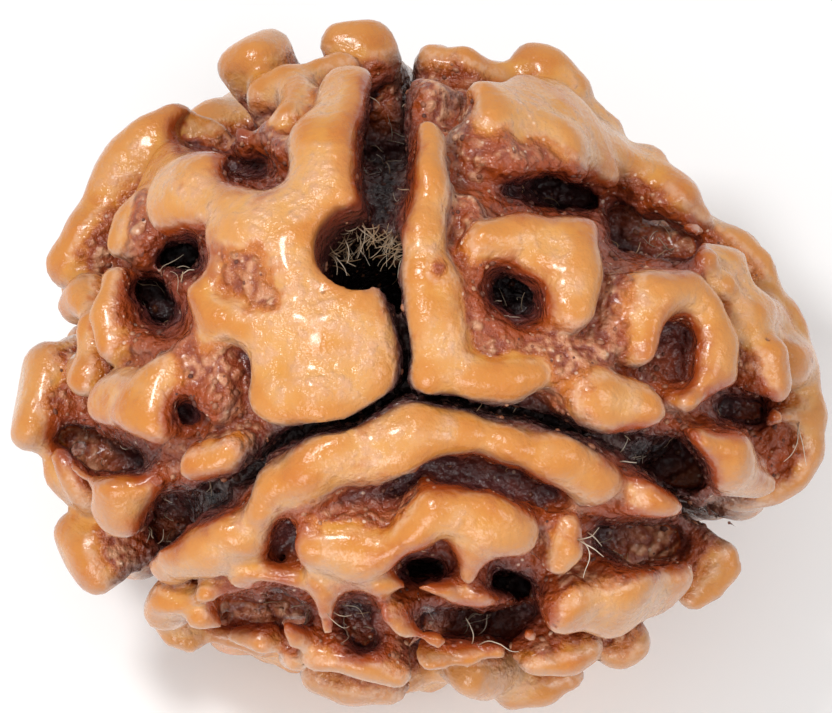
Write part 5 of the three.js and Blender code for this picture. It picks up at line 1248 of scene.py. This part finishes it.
@dataclass(frozen=True)
class WaxedShell(Finish):
    """The shell's own finish: waxed honey crests and beaded oily ground, with painted shade in the hollows,
    painted glints and a painted sheen along the brinks.
    """

    name: str = "waxed_shell"
    crest_roughness: float = 0.24
    ground_roughness: float = 0.22
    coat: float = 0.30
    coat_roughness: float = 0.12
    broad_scale: float = 420.0
    fine_scale: float = 1900.0
    grain_scale: float = 6200.0
    bead_scale: float = 4300.0
    pore_scale: float = 1100.0
    gleam_scale: float = 3000.0
    bump_height: float = 0.00009

    def inputs(self, nodes: Nodes) -> dict[str, Value]:
        """Adds the finish's nodes and returns what the surface's inputs get, by name."""
        place = nodes.out(nodes.add("ShaderNodeTexCoord"), "Object")
        broad = nodes.noise(place, self.broad_scale, 3.0)
        fine = nodes.noise(place, self.fine_scale, 4.0)
        grain = nodes.noise(place, self.grain_scale, 3.0)
        beads = self._beads(nodes, place, grain)
        under = nodes.kept("under")
        ground = (under + (broad - 0.5) * 0.7 + (fine - 0.5) * 1.0).ramp(0.05, 1.15)
        pores = self._specks(nodes, place, self.pore_scale, 0.05, 0.05) * fine.ramp(0.54, 0.62)
        rosy = nodes.kept("edge").ramp(0.39, 0.46) * broad.ramp(0.42, 0.52)
        rosy = rosy * fine.ramp(0.36, 0.56, 0.35, 1.0)
        colour = self._crest_to_ground(nodes, ground, rosy, broad, fine, beads * 0.6 + grain * 0.4)
        colour = self._edges(nodes, colour, under, grain)
        colour = nodes.mixed(pores * 0.7, colour, PALETTE.russet)
        colour = self._shadows(nodes, colour, under, fine, grain)
        # painted highlights: pale glint specks on grainy places, kept out of the hollows, the sinks, the
        # clefts and the bore
        gleam = self._specks(nodes, place, self.gleam_scale, 0.13, 0.06) * fine.ramp(0.42, 0.52)
        gleam = gleam * under.ramp(0.15, 0.5).most(rosy * 0.6) * grain.ramp(0.35, 0.60, 0.4, 0.95)
        shy = nodes.kept("hollow").ramp(0.90, 0.66, 0.25, 1.0)
        shy = shy * nodes.kept("scorch").ramp(1.1, 0.5, 0.3, 1.0)
        shy = shy * (1 - nodes.kept("seam") * 0.7) * (1 - nodes.kept("bored"))
        rough = ground.ramp(0.0, 1.0, self.crest_roughness, self.ground_roughness) + (fine - 0.5) * 0.35
        peel = fine * 0.60 + grain * 0.50 - pores * 0.7
        crumbly = (beads * 1.1 + grain * 1.4) * ground.ramp(0.05, 0.6).most(rosy * 0.32)
        swell = peel * (1 - ground * 0.6) + crumbly
        return {
            "Base Color": nodes.mixed(gleam * shy, colour, PALETTE.painted_highlight),
            "Roughness": rough,
            "Normal": nodes.flow("ShaderNodeBump", Height=swell, Strength=0.9, Distance=self.bump_height),
            "Coat Weight": (1 - ground * 0.5) * self.coat,
            "Coat Roughness": self.coat_roughness,
            "Subsurface Weight": 0.06,
            "Subsurface Radius": (0.0006, 0.0003, 0.00012),
            "Subsurface Scale": 1.0,
        }

    @staticmethod
    def _crest_to_ground(
        nodes: Nodes, ground: Flow, rosy: Flow, broad: Flow, fine: Flow, beads: Flow
    ) -> Flow:
        """Grades the colour from the waxed crests down to the crumbly ground.

        Args:
            nodes: the material's nodes.
            ground: 0 on a crest and 1 on open ground.
            rosy: 1 where a broad crest is bare and grainy.
            broad: cloudy noise of some millimetres.
            fine: noise of some tenths of a millimetre.
            beads: round swells of a fifth of a millimetre.

        Returns:
            The colour.
        """
        sunny = broad.ramp(0.40, 0.62) * fine.ramp(0.30, 0.55, 0.5, 1.0)
        crest = nodes.mixed(sunny, PALETTE.honey, PALETTE.straw)
        crest = nodes.mixed((1 - broad).ramp(0.48, 0.66) * fine.ramp(0.35, 0.65) * 0.8, crest, PALETTE.amber)
        crest = nodes.mixed(rosy * beads.ramp(0.30, 0.55, 0.50, 0.85), crest, PALETTE.peach)
        crumb = nodes.mixed(beads.ramp(0.22, 0.52), PALETTE.russet, PALETTE.rose_brown)
        crumb = nodes.mixed(fine.ramp(0.42, 0.62) * beads.ramp(0.35, 0.65), crumb, PALETTE.rose_tan)
        stained = (1 - broad).ramp(0.46, 0.62) * (1 - fine).ramp(0.38, 0.58) * 0.8
        crumb = nodes.mixed(stained, crumb, PALETTE.burnt)
        shallow = nodes.kept("under").ramp(1.15, 0.55) * beads.ramp(0.30, 0.60) * 0.6
        crumb = nodes.mixed(shallow, crumb, PALETTE.peach)
        side = nodes.mixed(ground.ramp(0.01, 0.28), crest, PALETTE.amber)
        side = nodes.mixed(ground.ramp(0.20, 0.55) * broad.ramp(0.66, 0.44), side, PALETTE.burnt)
        return nodes.mixed(ground.ramp(0.38, 0.90), side, crumb)

    @staticmethod
    def _edges(nodes: Nodes, colour: Flow, under: Flow, grain: Flow) -> Flow:
        """Turns convex crest brinks amber, paints a pale grey shade on the outer walls turned away from the
        light, and paints a pale sheen along the thin line at the brink of each crest.
        """
        flank, hollow, edge = nodes.kept("flank"), nodes.kept("hollow"), nodes.kept("edge")
        colour = nodes.mixed(edge.ramp(0.47, 0.38) * under.ramp(0.5, 0.2) * 0.55, colour, PALETTE.amber)
        # painted sheen: a pale line along the brink of each crest
        brink = under.ramp(0.06, 0.20) * under.ramp(0.48, 0.26) * edge.ramp(0.50, 0.38)
        # painted shade: a pale grey tone on outer walls turned away from the light and the eye
        grey_shade = flank * hollow.ramp(0.68, 0.52) * under.ramp(0.0, 0.5, 0.66, 0.90)
        walled = nodes.mixed(grey_shade * grain.ramp(0.25, 0.6, 0.55, 1.0), colour, PALETTE.shade_grey)
        return nodes.mixed(brink * grain.ramp(0.35, 0.60, 0.3, 1.0) * 0.30, walled, PALETTE.painted_highlight)

    @staticmethod
    def _shadows(nodes: Nodes, colour: Flow, under: Flow, fine: Flow, grain: Flow) -> Flow:
        """Paints shade into the hollows, round and inside the sinks and down the bore, and darkens the
        clefts.
        """
        hollow = nodes.kept("hollow") + (fine - 0.5) * 0.14
        level = nodes.kept("level")
        inside = nodes.kept("bored")
        seam = nodes.kept("seam") * under.ramp(0.05, 0.40)
        # painted shade round and inside the sinks
        scorch = nodes.kept("scorch") + (fine - 0.5) * 0.5
        # painted shade: burnt, russet and maroon by how enclosed a place is and how near a sink
        for pitted, scorched, shade in (
            (hollow.ramp(0.54, 0.68) * 0.5, scorch.ramp(0.05, 0.48), PALETTE.burnt),
            (hollow.ramp(0.61, 0.74) * 0.7, scorch.ramp(0.42, 0.82), PALETTE.russet),
            (hollow.ramp(0.67, 0.82), scorch.ramp(0.70, 1.05), PALETTE.maroon),
        ):
            colour = nodes.mixed(pitted.most(scorched), colour, shade)
        # painted shade down the bore, maroon deeper in
        funnel = nodes.mixed((level + (fine - 0.5) * 0.8).ramp(0.9, -0.6), PALETTE.russet, PALETTE.maroon)
        colour = nodes.mixed(inside * (level + (fine - 0.5) * 0.5).ramp(1.25, 0.75), colour, funnel)
        # darker along the clefts: grainy maroon and umber
        seam_tone = nodes.mixed(grain.ramp(0.42, 0.60), PALETTE.maroon, PALETTE.umber)
        colour = nodes.mixed(seam, colour, seam_tone)
        # painted shade: near black in the deepest hollows, inside the sinks and low in the bore
        deep = hollow.ramp(0.80, 0.95).most(scorch.ramp(1.0, 1.3)) * (1 - inside)
        return nodes.mixed(deep.most(inside * level.ramp(-0.4, -2.2)), colour, PALETTE.deep_shade)

    def _beads(self, nodes: Nodes, place: Flow, grain: Flow) -> Flow:
        """Returns uneven lumps of a fifth of a millimetre, 1 at the middle of each."""
        jitter = 1 + (grain - 0.5) * 0.004
        stray = nodes.flow("ShaderNodeVectorMath", {"operation": "SCALE"}, Vector=place, Scale=jitter)
        settings = {"feature": "SMOOTH_F1"}
        lumps = nodes.flow("ShaderNodeTexVoronoi", settings, Vector=stray, Scale=self.bead_scale)
        return lumps.ramp(0.70, 0.05)

    @staticmethod
    def _specks(nodes: Nodes, place: Flow, scale: float, radius: float, soft: float) -> Flow:
        """Returns round specks, one in each cell of a scattered pattern."""
        spots = nodes.flow("ShaderNodeTexVoronoi", Vector=place, Scale=scale)
        return spots.ramp(radius + soft, radius - soft)


@dataclass(frozen=True)
class CrumbFinish(Finish):
    """The crumbs of dry pulp: pinkish brown, some pale, some glossy."""

    name: str = "dry_crumbs"
    shades: tuple[tuple[float, Colour], ...] = (
        (0.0, (0.10, 0.026, 0.014)),
        (0.40, (0.26, 0.080, 0.036)),
        (0.75, (0.42, 0.180, 0.095)),
        (0.93, (0.56, 0.290, 0.170)),
        (1.0, (0.74, 0.520, 0.380)),
    )

    def inputs(self, nodes: Nodes) -> dict[str, Value]:
        """Adds the finish's nodes and returns what the surface's inputs get, by name."""
        tint, hollow = nodes.kept("tint"), nodes.kept("hollow")
        # painted shade: crumbs darker in the hollows and round the sinks
        shaded = tint * hollow.ramp(0.52, 0.86, 1.0, 0.12) * nodes.kept("scorch").ramp(0.4, 1.0, 1.0, 0.1)
        colour = nodes.flow("ShaderNodeValToRGB", {"stops": self.shades}, Fac=shaded)
        return {"Base Color": colour, "Roughness": tint.ramp(0.0, 1.0, 0.65, 0.22)}


@dataclass(frozen=True)
class FibreFinish(Finish):
    """Dry plant fibre, from tan to nearly white, darker at its root."""

    name: str = "dry_fibre"
    root: Colour = (0.26, 0.13, 0.065)
    tan: Colour = (0.44, 0.28, 0.15)
    pale: Colour = (0.66, 0.58, 0.46)
    roughness: float = 0.5

    def inputs(self, nodes: Nodes) -> dict[str, Value]:
        """Adds the finish's nodes and returns what the surface's inputs get, by name."""
        tip = nodes.mixed(nodes.kept("pale"), self.tan, self.pale)
        colour = nodes.mixed(nodes.kept("along").ramp(0.0, 0.4), self.root, tip)
        return {"Base Color": colour, "Roughness": self.roughness}


@dataclass(frozen=True)
class PlainPaint(Finish):
    """A plain matt paint for the floor."""

    colour: Colour
    roughness: float = 0.8

    def inputs(self, nodes: Nodes) -> dict[str, Value]:
        """Returns what the surface's inputs get, by name."""
        return {"Base Color": self.colour, "Roughness": self.roughness}


@dataclass
class GeometryTree:
    """A geometry tree with named sizes that is run on one object and then turned into its plain mesh."""

    name: str
    sizes: dict[str, float]

    def __post_init__(self) -> None:
        """Makes the tree with an input for the geometry and one for each size."""
        self.tree = bpy.data.node_groups.new(self.name, "GeometryNodeTree")
        self.tree.is_modifier = True
        face = self.tree.interface
        face.new_socket("Geometry", in_out="INPUT", socket_type="NodeSocketGeometry")
        for size in self.sizes:
            face.new_socket(size, in_out="INPUT", socket_type="NodeSocketFloat")
        face.new_socket("Geometry", in_out="OUTPUT", socket_type="NodeSocketGeometry")
        self.nodes = Nodes(self.tree, geometry=True)
        self.entry = self.nodes.add("NodeGroupInput")

    def given(self, name: str) -> Flow:
        """Returns the tree's input of a name."""
        return self.nodes.out(self.entry, name)

    def run(self, made: bpy.types.Object, last: Flow, finish: Finish) -> bpy.types.Object:
        """Ends the tree with real geometry in one finish, sets its sizes and applies it to an object.

        Args:
            made: the object.
            last: the geometry that the tree makes.
            finish: the finish that it gets.

        Returns:
            The same object, holding the plain mesh.
        """
        real = self.nodes.flow("GeometryNodeRealizeInstances", Geometry=last)
        dressed = self.nodes.flow("GeometryNodeSetMaterial", Geometry=real, Material=finish.build())
        self.nodes.add("NodeGroupOutput", Geometry=dressed)
        modifier = made.modifiers.new(self.name, "NODES")
        modifier.node_group = self.tree
        for item in self.tree.interface.items_tree:
            if item.in_out == "INPUT" and item.name in self.sizes:
                modifier[item.identifier] = self.sizes[item.name]
        apply_modifiers(made)
        LOG.info("%s: %d faces", made.name, len(made.data.polygons))
        return made


@dataclass
class Weathering:
    """The skin's roughness: fine grain on the crests, coarse crumbly ground on the walls and floors."""

    crest_grain: float = 0.05
    ground_grain: float = 0.26
    crumb_scale: float = 2300.0
    lump_scale: float = 1500.0
    grain_scale: float = 1300.0

    def apply(self, made: bpy.types.Object) -> bpy.types.Object:
        """Roughens the skin, dresses it in the shell's finish and returns it."""
        sizes = {"Crest grain": self.crest_grain * METRES, "Ground grain": self.ground_grain * METRES}
        tree = GeometryTree("weathering", sizes)
        nodes = tree.nodes
        place = nodes.flow("GeometryNodeInputPosition")
        crumbs = nodes.flow(
            "ShaderNodeTexVoronoi",
            {"feature": "SMOOTH_F1"},
            Vector=place,
            Scale=self.crumb_scale,
            Smoothness=0.3,
        )
        swell = (0.45 - crumbs) * 0.7 + (nodes.noise(place, self.lump_scale, 3.0) - 0.5) * 1.2
        grain = (nodes.noise(place, self.grain_scale, 2.0) - 0.5) * tree.given("Crest grain")
        lift = swell * nodes.kept("rough") * tree.given("Ground grain") + grain
        normal = nodes.flow("GeometryNodeInputNormal")
        offset = nodes.flow("ShaderNodeVectorMath", {"operation": "SCALE"}, Vector=normal, Scale=lift)
        moved = nodes.flow("GeometryNodeSetPosition", Geometry=tree.given("Geometry"), Offset=offset)
        return tree.run(made, moved, WaxedShell())


@dataclass
class SeedSkin:
    """The seed's own skin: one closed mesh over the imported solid, with its numbers kept for the finish."""

    body: Body
    relief: Relief
    most_faces: int = 196000
    # how far the painted shade round each sink reaches
    scorch_reach: float = 0.85
    pit_radius: float = 1.15
    brink_radius: float = 0.40

    def build(self) -> bpy.types.Object:
        """Builds, roughens and dresses the skin.

        Returns:
            The finished piece.
        """
        places, faces = self.relief.skin()
        LOG.info("skin: %d corners, %d faces", len(places), len(faces))
        made = add_object("seed_skin", mesh_from("seed_skin", to_part(places), faces))
        if 2 * len(faces) > self.most_faces:
            thin = made.modifiers.new("thin", "DECIMATE")
            thin.ratio = self.most_faces / (2 * len(faces))
            apply_modifiers(made)
        self._keep_numbers(made.data)
        return Weathering().apply(made)

    def _keep_numbers(self, mesh: bpy.types.Mesh) -> None:
        """Keeps the numbers that the finish and the crumbs read at each corner.

        They are the level over the floor, how hollow and how sharp the place is, the painted grey shade on
        the flanks, the painted shade round the sinks, the depth under a crest, the clefts, the bore and the
        roughness.

        Args:
            mesh: the skin before it is roughened.
        """
        relief = self.relief
        places, normals = surface_of(mesh)
        across, along, depth = drawn(places)
        far = np.linalg.norm(places, axis=1)
        under = np.clip(relief.sample(relief.under, places), -0.2, relief.open_ground)
        for u, v, radius in BARE_PATCHES:
            ragged = radius + 0.16 * np.sin(5.1 * across + 2) * np.sin(4.3 * along + 1)
            bare = np.clip((ragged - np.hypot(across - u, along - v)) / 0.60, 0, 1) * (depth > 0)
            under = np.maximum(under, bare * 0.75)
        bored = np.clip((relief.bore_radius + 0.32 - relief.off_bore(places)) / 0.25, 0, 1)
        numbers = {
            "level": far - self.body.floor(places / far[:, None]),
            "hollow": relief.sample(relief.fullness(self.pit_radius), places),
            "edge": relief.sample(relief.fullness(self.brink_radius), places),
            "flank": self._wall_shade(places, normals),
            # painted shade round the sinks, weaker high on the crests
            "scorch": self._scorch(across, along, depth) * np.clip(0.42 + under * 1.2, 0, 1),
            "under": under,
            "seam": np.clip((0.55 - relief.sample(relief.seam, places)) / 0.40, 0, 1),
            "bored": bored,
            "rough": np.clip((under - 0.22) / 0.65, 0, 1) * (1 - 0.6 * bored),
        }
        for name, values in numbers.items():
            store(mesh, name, values)

    def _scorch(self, across: Array, along: Array, depth: Array) -> Array:
        """Returns how much painted shade the sinks spread round them at points of the drawing plane at their
        depths.
        """
        scorch = np.zeros(len(depth))
        for _, bottom, trace in SINKS:
            near = np.clip(1 - trace_gap(trace, across, along) / self.scorch_reach, 0, 1.25)
            scorch = np.maximum(scorch, near * min(1.0, 0.75 - 0.25 * bottom) * (depth > SINK_DEPTH))
        return scorch

    @staticmethod
    def _wall_shade(places: Array, normals: Array) -> Array:
        """Returns how much painted grey shade falls on the walls that face outwards, or away from the light.
        """
        across, along, depth = drawn(places)
        ways = places / np.linalg.norm(places, axis=1)[:, None]
        outward = places[:, :2] / np.linalg.norm(places[:, :2], axis=1)[:, None]
        wall = 1 - np.clip(np.sum(ways * normals, axis=1), 0, 1)
        flank = np.clip((wall - 0.12) / 0.35, 0, 1) * np.clip((0.8 - normals @ TOWARDS) / 0.5, 0, 1)
        flank *= np.clip((np.sum(normals[:, :2] * outward, axis=1) + 0.1) / 0.5, 0, 1)
        # painted shade in the lee of the key light, on walls turned from the eye
        lee = np.clip(0.30 - 1.2 * (normals @ UP) + 0.4 * (normals @ RIGHT), 0, 1)
        lee *= np.clip((0.92 - normals @ TOWARDS) / 0.32, 0, 1) * np.clip((depth + 1) / 3, 0, 0.75)
        return np.maximum(flank, lee * np.clip(np.hypot(across, along) / 2.0 - 1.7, 0, 1))


@dataclass
class Crumbs:
    """Beads and crumbs of dry pulp that lie in the valleys and on the lower walls."""

    skin: bpy.types.Object
    name: str = "valley_crumbs"
    per_square_millimetre: float = 6.5
    least_radius: float = 0.035
    most_radius: float = 0.110
    ground_from: float = 0.38
    ground_to: float = 1.0
    patch_scale: float = 900.0
    seed: int = 7

    def build(self) -> bpy.types.Object:
        """Returns the finished piece."""
        sizes = {
            "Density": self.per_square_millimetre / METRES**2,
            "Least radius": self.least_radius * METRES,
            "Most radius": self.most_radius * METRES,
            "Ground from": self.ground_from,
            "Ground to": self.ground_to,
        }
        tree = GeometryTree("scatter", sizes)
        return tree.run(add_object(self.name, self.skin.data.copy()), self._scattered(tree), CrumbFinish())

    def _scattered(self, tree: GeometryTree) -> Flow:
        """Returns the crumbs on the skin's ground, each with the numbers that its finish reads."""
        nodes = tree.nodes
        place = nodes.flow("GeometryNodeInputPosition")
        ground = nodes.kept("under").ramp(tree.given("Ground from"), tree.given("Ground to"))
        patches = nodes.noise(place, self.patch_scale, 2.0).ramp(0.35, 0.62, 0.15, 1.0)
        density = ground * patches * tree.given("Density")
        points = nodes.add(
            "GeometryNodeDistributePointsOnFaces",
            {"distribute_method": "RANDOM"},
            Mesh=tree.given("Geometry"),
            Density=density,
            Seed=self.seed,
        )
        ball = nodes.flow("GeometryNodeMeshIcoSphere", Radius=1.0, Subdivisions=1)
        pick = self._random(nodes, 0.0, 1.0, self.seed + 1)
        spread = tree.given("Most radius") - tree.given("Least radius")
        radius = tree.given("Least radius") + pick * pick * pick * spread
        wide, deep = [radius * self._random(nodes, 0.75, 1.3, self.seed + 2 + i) for i in range(2)]
        crumbs = nodes.flow(
            "GeometryNodeInstanceOnPoints",
            Points=nodes.out(points, "Points"),
            Instance=nodes.flow("GeometryNodeSetShadeSmooth", Geometry=ball),
            Rotation=nodes.out(points, "Rotation"),
            Scale=nodes.flow("ShaderNodeCombineXYZ", X=wide, Y=deep, Z=radius * 0.65),
        )
        numbers = {"tint": self._random(nodes, 0.0, 1.0, self.seed + 9)}
        numbers |= {name: nodes.kept(name) for name in ("hollow", "scorch")}
        kept = {"data_type": "FLOAT", "domain": "INSTANCE"}
        for name, value in numbers.items():
            row = {"Geometry": crumbs, "Name": name, "Value": value}
            crumbs = nodes.flow("GeometryNodeStoreNamedAttribute", kept, **row)
        return crumbs

    @staticmethod
    def _random(nodes: Nodes, least: float, most: float, seed: int) -> Flow:
        """Returns a random number for each point, from a fixed seed."""
        node = nodes.add("FunctionNodeRandomValue", {"data_type": "FLOAT"})
        for name, value in (("Min", least), ("Max", most), ("Seed", seed)):
            socket = [item for item in node.inputs if item.name == name and item.enabled][0]
            socket.default_value = value
        return Flow(nodes, [item for item in node.outputs if item.enabled][0])


@dataclass(frozen=True)
class Tuft:
    """A group of fibres that grow from one place on the drawing plane."""

    place: tuple[float, float]
    heading: tuple[float, float]
    count: int
    length: float
    curl: float
    spread: float = 0.25
    pale: float = 0.5
    lift: float = 0.35


TUFTS = (
    Tuft((-0.85, 4.55), (0.2, -0.4), 7, 0.9, 0.9, 0.45, 0.9),
    Tuft((-0.8, 5.6), (0.3, 0.3), 5, 0.7, 0.8, 0.4, 0.7),
    Tuft((1.3, -6.75), (0.6, 0.5), 7, 1.1, 0.7, 0.40, 0.6),
    Tuft((4.15, -4.3), (0.9, -0.5), 4, 1.1, 0.5, 0.20, 0.95),
    Tuft((9.55, -1.55), (0.05, -1.0), 2, 1.5, 0.25, 0.05, 0.8),
    Tuft((5.4, -2.5), (0.5, 0.2), 6, 0.6, 0.9, 0.35, 0.9),
    Tuft((-6.2, 1.9), (0.3, 0.5), 5, 0.8, 0.8, 0.35, 0.4),
    Tuft((-6.4, -4.0), (-0.5, -0.3), 5, 0.8, 0.8, 0.35, 0.4),
    Tuft((-1.9, -6.4), (0.3, -0.6), 6, 0.9, 0.8, 0.35, 0.5),
    Tuft((2.4, 1.3), (-0.4, 0.5), 4, 0.7, 0.9, 0.30, 0.5),
    Tuft((6.3, 3.0), (-0.6, 0.2), 5, 0.8, 0.8, 0.30, 0.6),
)


@dataclass
class Fibres:
    """Loose plant fibres: curls in the bore, whiskers in the clefts and hairs in the valleys."""

    relief: Relief
    skin: bpy.types.Object
    name: str = "dry_fibres"
    bore_count: int = 90
    valley_count: int = 90
    stride: float = 0.085
    thickest: float = 0.021
    thinnest: float = 0.010
    hairs_from: float = 0.9
    # How deep and how long, as spans for the dice: the least value and the most they add
    curl_depth: tuple[float, float] = (1.2, 1.3)
    curl_length: tuple[float, float] = (0.4, 0.65)
    hair_length: tuple[float, float] = (0.25, 0.5)
    tuft_share: tuple[float, float] = (0.6, 0.6)
    clearance: float = 0.03
    probe: float = 0.1
    seed: int = 4711

    def __post_init__(self) -> None:
        """Starts with no fibres; each point has a thickness, a place along its fibre and a paleness."""
        self.dice = Dice(self.seed)
        self.points: list[Array] = []
        self.links: list[tuple[int, int]] = []
        self.numbers: list[tuple[float, float, float]] = []

    def build(self) -> bpy.types.Object:
        """Returns the finished piece."""
        for tuft in TUFTS:
            self._grow_tuft(tuft)
        self._grow_bore()
        self._grow_valleys()
        mesh = bpy.data.meshes.new(self.name)
        mesh.from_pydata([tuple(point) for point in to_part(np.array(self.points))], self.links, [])
        for i, name in enumerate(("thick", "along", "pale")):
            store(mesh, name, np.array([row[i] for row in self.numbers]))
        tree = GeometryTree("fibre", {"Thickness": METRES})
        nodes = tree.nodes
        path = nodes.flow("GeometryNodeMeshToCurve", Mesh=tree.given("Geometry"))
        ring = nodes.flow("GeometryNodeCurvePrimitiveCircle", {"mode": "RADIUS"}, Resolution=5, Radius=1.0)
        tube = nodes.flow(
            "GeometryNodeCurveToMesh",
            Curve=path,
            Profile_Curve=ring,
            Scale=nodes.kept("thick") * tree.given("Thickness"),
            Fill_Caps=True,
        )
        smooth = nodes.flow("GeometryNodeSetShadeSmooth", Geometry=tube)
        return tree.run(add_object(self.name, mesh), smooth, FibreFinish())

    def _around(self) -> float:
        """Returns a random number between -1 and 1."""
        return 2 * self.dice.roll() - 1

    def _stray(self) -> Array:
        """Returns a random vector with parts between -1 and 1."""
        return np.array([self._around() for _ in range(3)])

    def _grow(self, start: Array, heading: Array, length: float, curl: float, pale: float) -> None:
        """Grows one fibre that keeps clear of the solid.

        Args:
            start: where it leaves the surface.
            heading: its first direction.
            length: how long it is.
            curl: how much it turns at each stride.
            pale: 0 for tan and 1 for nearly white.
        """
        count = max(5, int(length / self.stride))
        thick = self.thinnest + (self.thickest - self.thinnest) * self.dice.roll()
        heading, point = unit(heading), start
        bend = self._stray() * curl
        first = len(self.points)
        for i in range(count):
            self.points.append(point)
            self.numbers.append((thick * (1 - 0.6 * i / count), i / (count - 1), pale))
            if i:
                self.links.append((first + i - 1, first + i))
            bend = bend * 0.75 + self._stray() * curl * 0.45
            heading = unit(heading + bend * 0.55)
            point = self._clear(point + heading * self.stride)

    def _clear(self, point: Array) -> Array:
        """Returns a point moved out of the solid along its slope, if it is in it or too close."""
        for _ in range(3):
            probes = point + self.probe * np.array([(0, 0, 0), (1, 0, 0), (0, 1, 0), (0, 0, 1)])
            depth = self.relief.sample(self.relief.field, probes)
            if depth[0] > self.clearance:
                break
            slope = depth[1:] - depth[0]
            size = float(np.linalg.norm(slope))
            if size < 1e-6:
                break
            point = point + slope / size * (0.04 - min(0.0, float(depth[0])))
        return point

    def _grow_tuft(self, tuft: Tuft) -> None:
        """Grows one tuft where the line of sight meets the seed."""
        for _ in range(tuft.count):
            u = tuft.place[0] + self._around() * tuft.spread
            v = tuft.place[1] + self._around() * tuft.spread
            start = self.relief.sighted(u, v)
            heading = RIGHT * tuft.heading[0] + UP * tuft.heading[1] + TOWARDS * tuft.lift
            heading = heading + self._stray() * 0.4
            pale = min(1.0, max(0.0, tuft.pale + 0.3 * self._around()))
            self._grow(start, heading, tuft.length * self.dice.within(self.tuft_share), tuft.curl, pale)

    def _grow_bore(self) -> None:
        """Grows the curls that hang across the bore from its upper wall."""
        lean = self.relief.bore_lean
        axis = np.array([-math.sin(lean), 0, math.cos(lean)])
        across = np.array([math.cos(lean), 0, math.sin(lean)])
        beyond = np.cross(axis, across)
        for _ in range(self.bore_count):
            turn = math.radians(90 + 75 * self._around())
            depth = self.dice.within(self.curl_depth)
            out = across * math.cos(turn) + beyond * math.sin(turn)
            start = axis * (float(self.relief.body.floor(axis)) + 1.1 - depth)
            start = start + out * (self.relief.bore_radius - 0.02)
            heading = -out * 0.8 + axis * 0.25 + across * self._around() * 0.7
            self._grow(start, heading, self.dice.within(self.curl_length), 0.6, 0.8 * self.dice.roll() ** 2)

    def _grow_valleys(self) -> None:
        """Grows short hairs in the valleys all round the seed."""
        places, normals = surface_of(self.skin.data)
        under = np.empty(len(places), np.float32)
        self.skin.data.attributes["under"].data.foreach_get("value", under)
        ground = np.nonzero(under > self.hairs_from)[0]
        for _ in range(self.valley_count):
            at = ground[int(self.dice.roll() * (len(ground) - 1))]
            heading = normals[at] * 0.5 + self._stray() * 0.8
            self._grow(places[at], heading, self.dice.within(self.hair_length), 0.8, self.dice.roll() ** 3)


@dataclass
class Studio:
    """Floor, lights and the camera at the photograph's viewing angle."""

    frame_width: float = 20.8
    sensor: float = 36.0
    middle_up: float = 0.1125
    floor_reach: float = 0.4
    floor_colour: Colour = (0.95, 0.955, 0.96)
    sky_strength: float = 0.68

    def build(self) -> None:
        """Builds the whole stage."""
        self._floor()
        self._lights()
        self._camera()

    def _floor(self) -> None:
        """Lays a plain pale floor under the seed."""
        corners = self.floor_reach * np.array([(-1, -1, 0), (1, -1, 0), (1, 1, 0), (-1, 1, 0)])
        floor = add_object("floor", mesh_from("floor", corners, np.array([[0, 1, 2, 3]])))
        floor.data.materials.append(PlainPaint("pale_floor", self.floor_colour).build())

    def _lights(self) -> None:
        """Sets a large key light up left, a fill light on the right and an even pale sky."""
        self._area("key", (-35, 5, 95), size=15, power=0.048)
        self._area("fill", (60, -30, 70), size=30, power=0.014)
        self._area("front", (-25, -80, 45), size=36, power=0.026)
        world = bpy.data.worlds.new("sky")
        bpy.context.scene.world = world
        world.use_nodes = True
        sky = world.node_tree.nodes["Background"]
        sky.inputs["Color"].default_value = (1.0, 1.0, 1.0, 1.0)
        sky.inputs["Strength"].default_value = self.sky_strength

    @staticmethod
    def _area(name: str, place: tuple[float, float, float], size: float, power: float) -> None:
        """Adds one square light, with its place and size in millimetres from the middle of the seed."""
        light = bpy.data.lights.new(name, "AREA")
        light.size = size * METRES
        light.energy = power
        made = add_object(name, light)
        made.location = Vector(to_part(np.array(place, float)))
        made.rotation_mode = "QUATERNION"
        made.rotation_quaternion = (-Vector(place)).to_track_quat("-Z", "Y")

    def _camera(self) -> None:
        """Sets the camera on the line of sight."""
        lens = bpy.data.cameras.new("camera")
        lens.sensor_width = self.sensor
        lens.lens = self.sensor * EYE_DISTANCE / self.frame_width
        lens.clip_start, lens.clip_end = 0.01, 10.0
        camera = add_object("camera", lens)
        camera.location = Vector(to_part(TOWARDS * EYE_DISTANCE + UP * self.middle_up))
        camera.rotation_mode = "QUATERNION"
        camera.rotation_quaternion = Vector(-TOWARDS).to_track_quat("-Z", "Y")
        bpy.context.scene.camera = camera
        bpy.context.scene.view_settings.view_transform = "Standard"


def main() -> None:
    """Builds the seed and its stage, piece by piece."""
    logging.basicConfig(level=logging.INFO, format="%(message)s")
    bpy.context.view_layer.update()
    body = Body()
    growth = Growth(body)
    LOG.info("growth: %d ridges, %d mounds", len(growth.ridges), len(growth.mounds))
    relief = Relief(body, growth, FULL_STEP)
    skin = shown(SeedSkin(body, relief).build())
    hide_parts("seed")
    for part in (skin, shown(Crumbs(skin).build()), shown(Fibres(relief, skin).build())):
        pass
    Studio().build()
    bpy.context.view_layer.update()


if __name__ == "__main__":
    main()
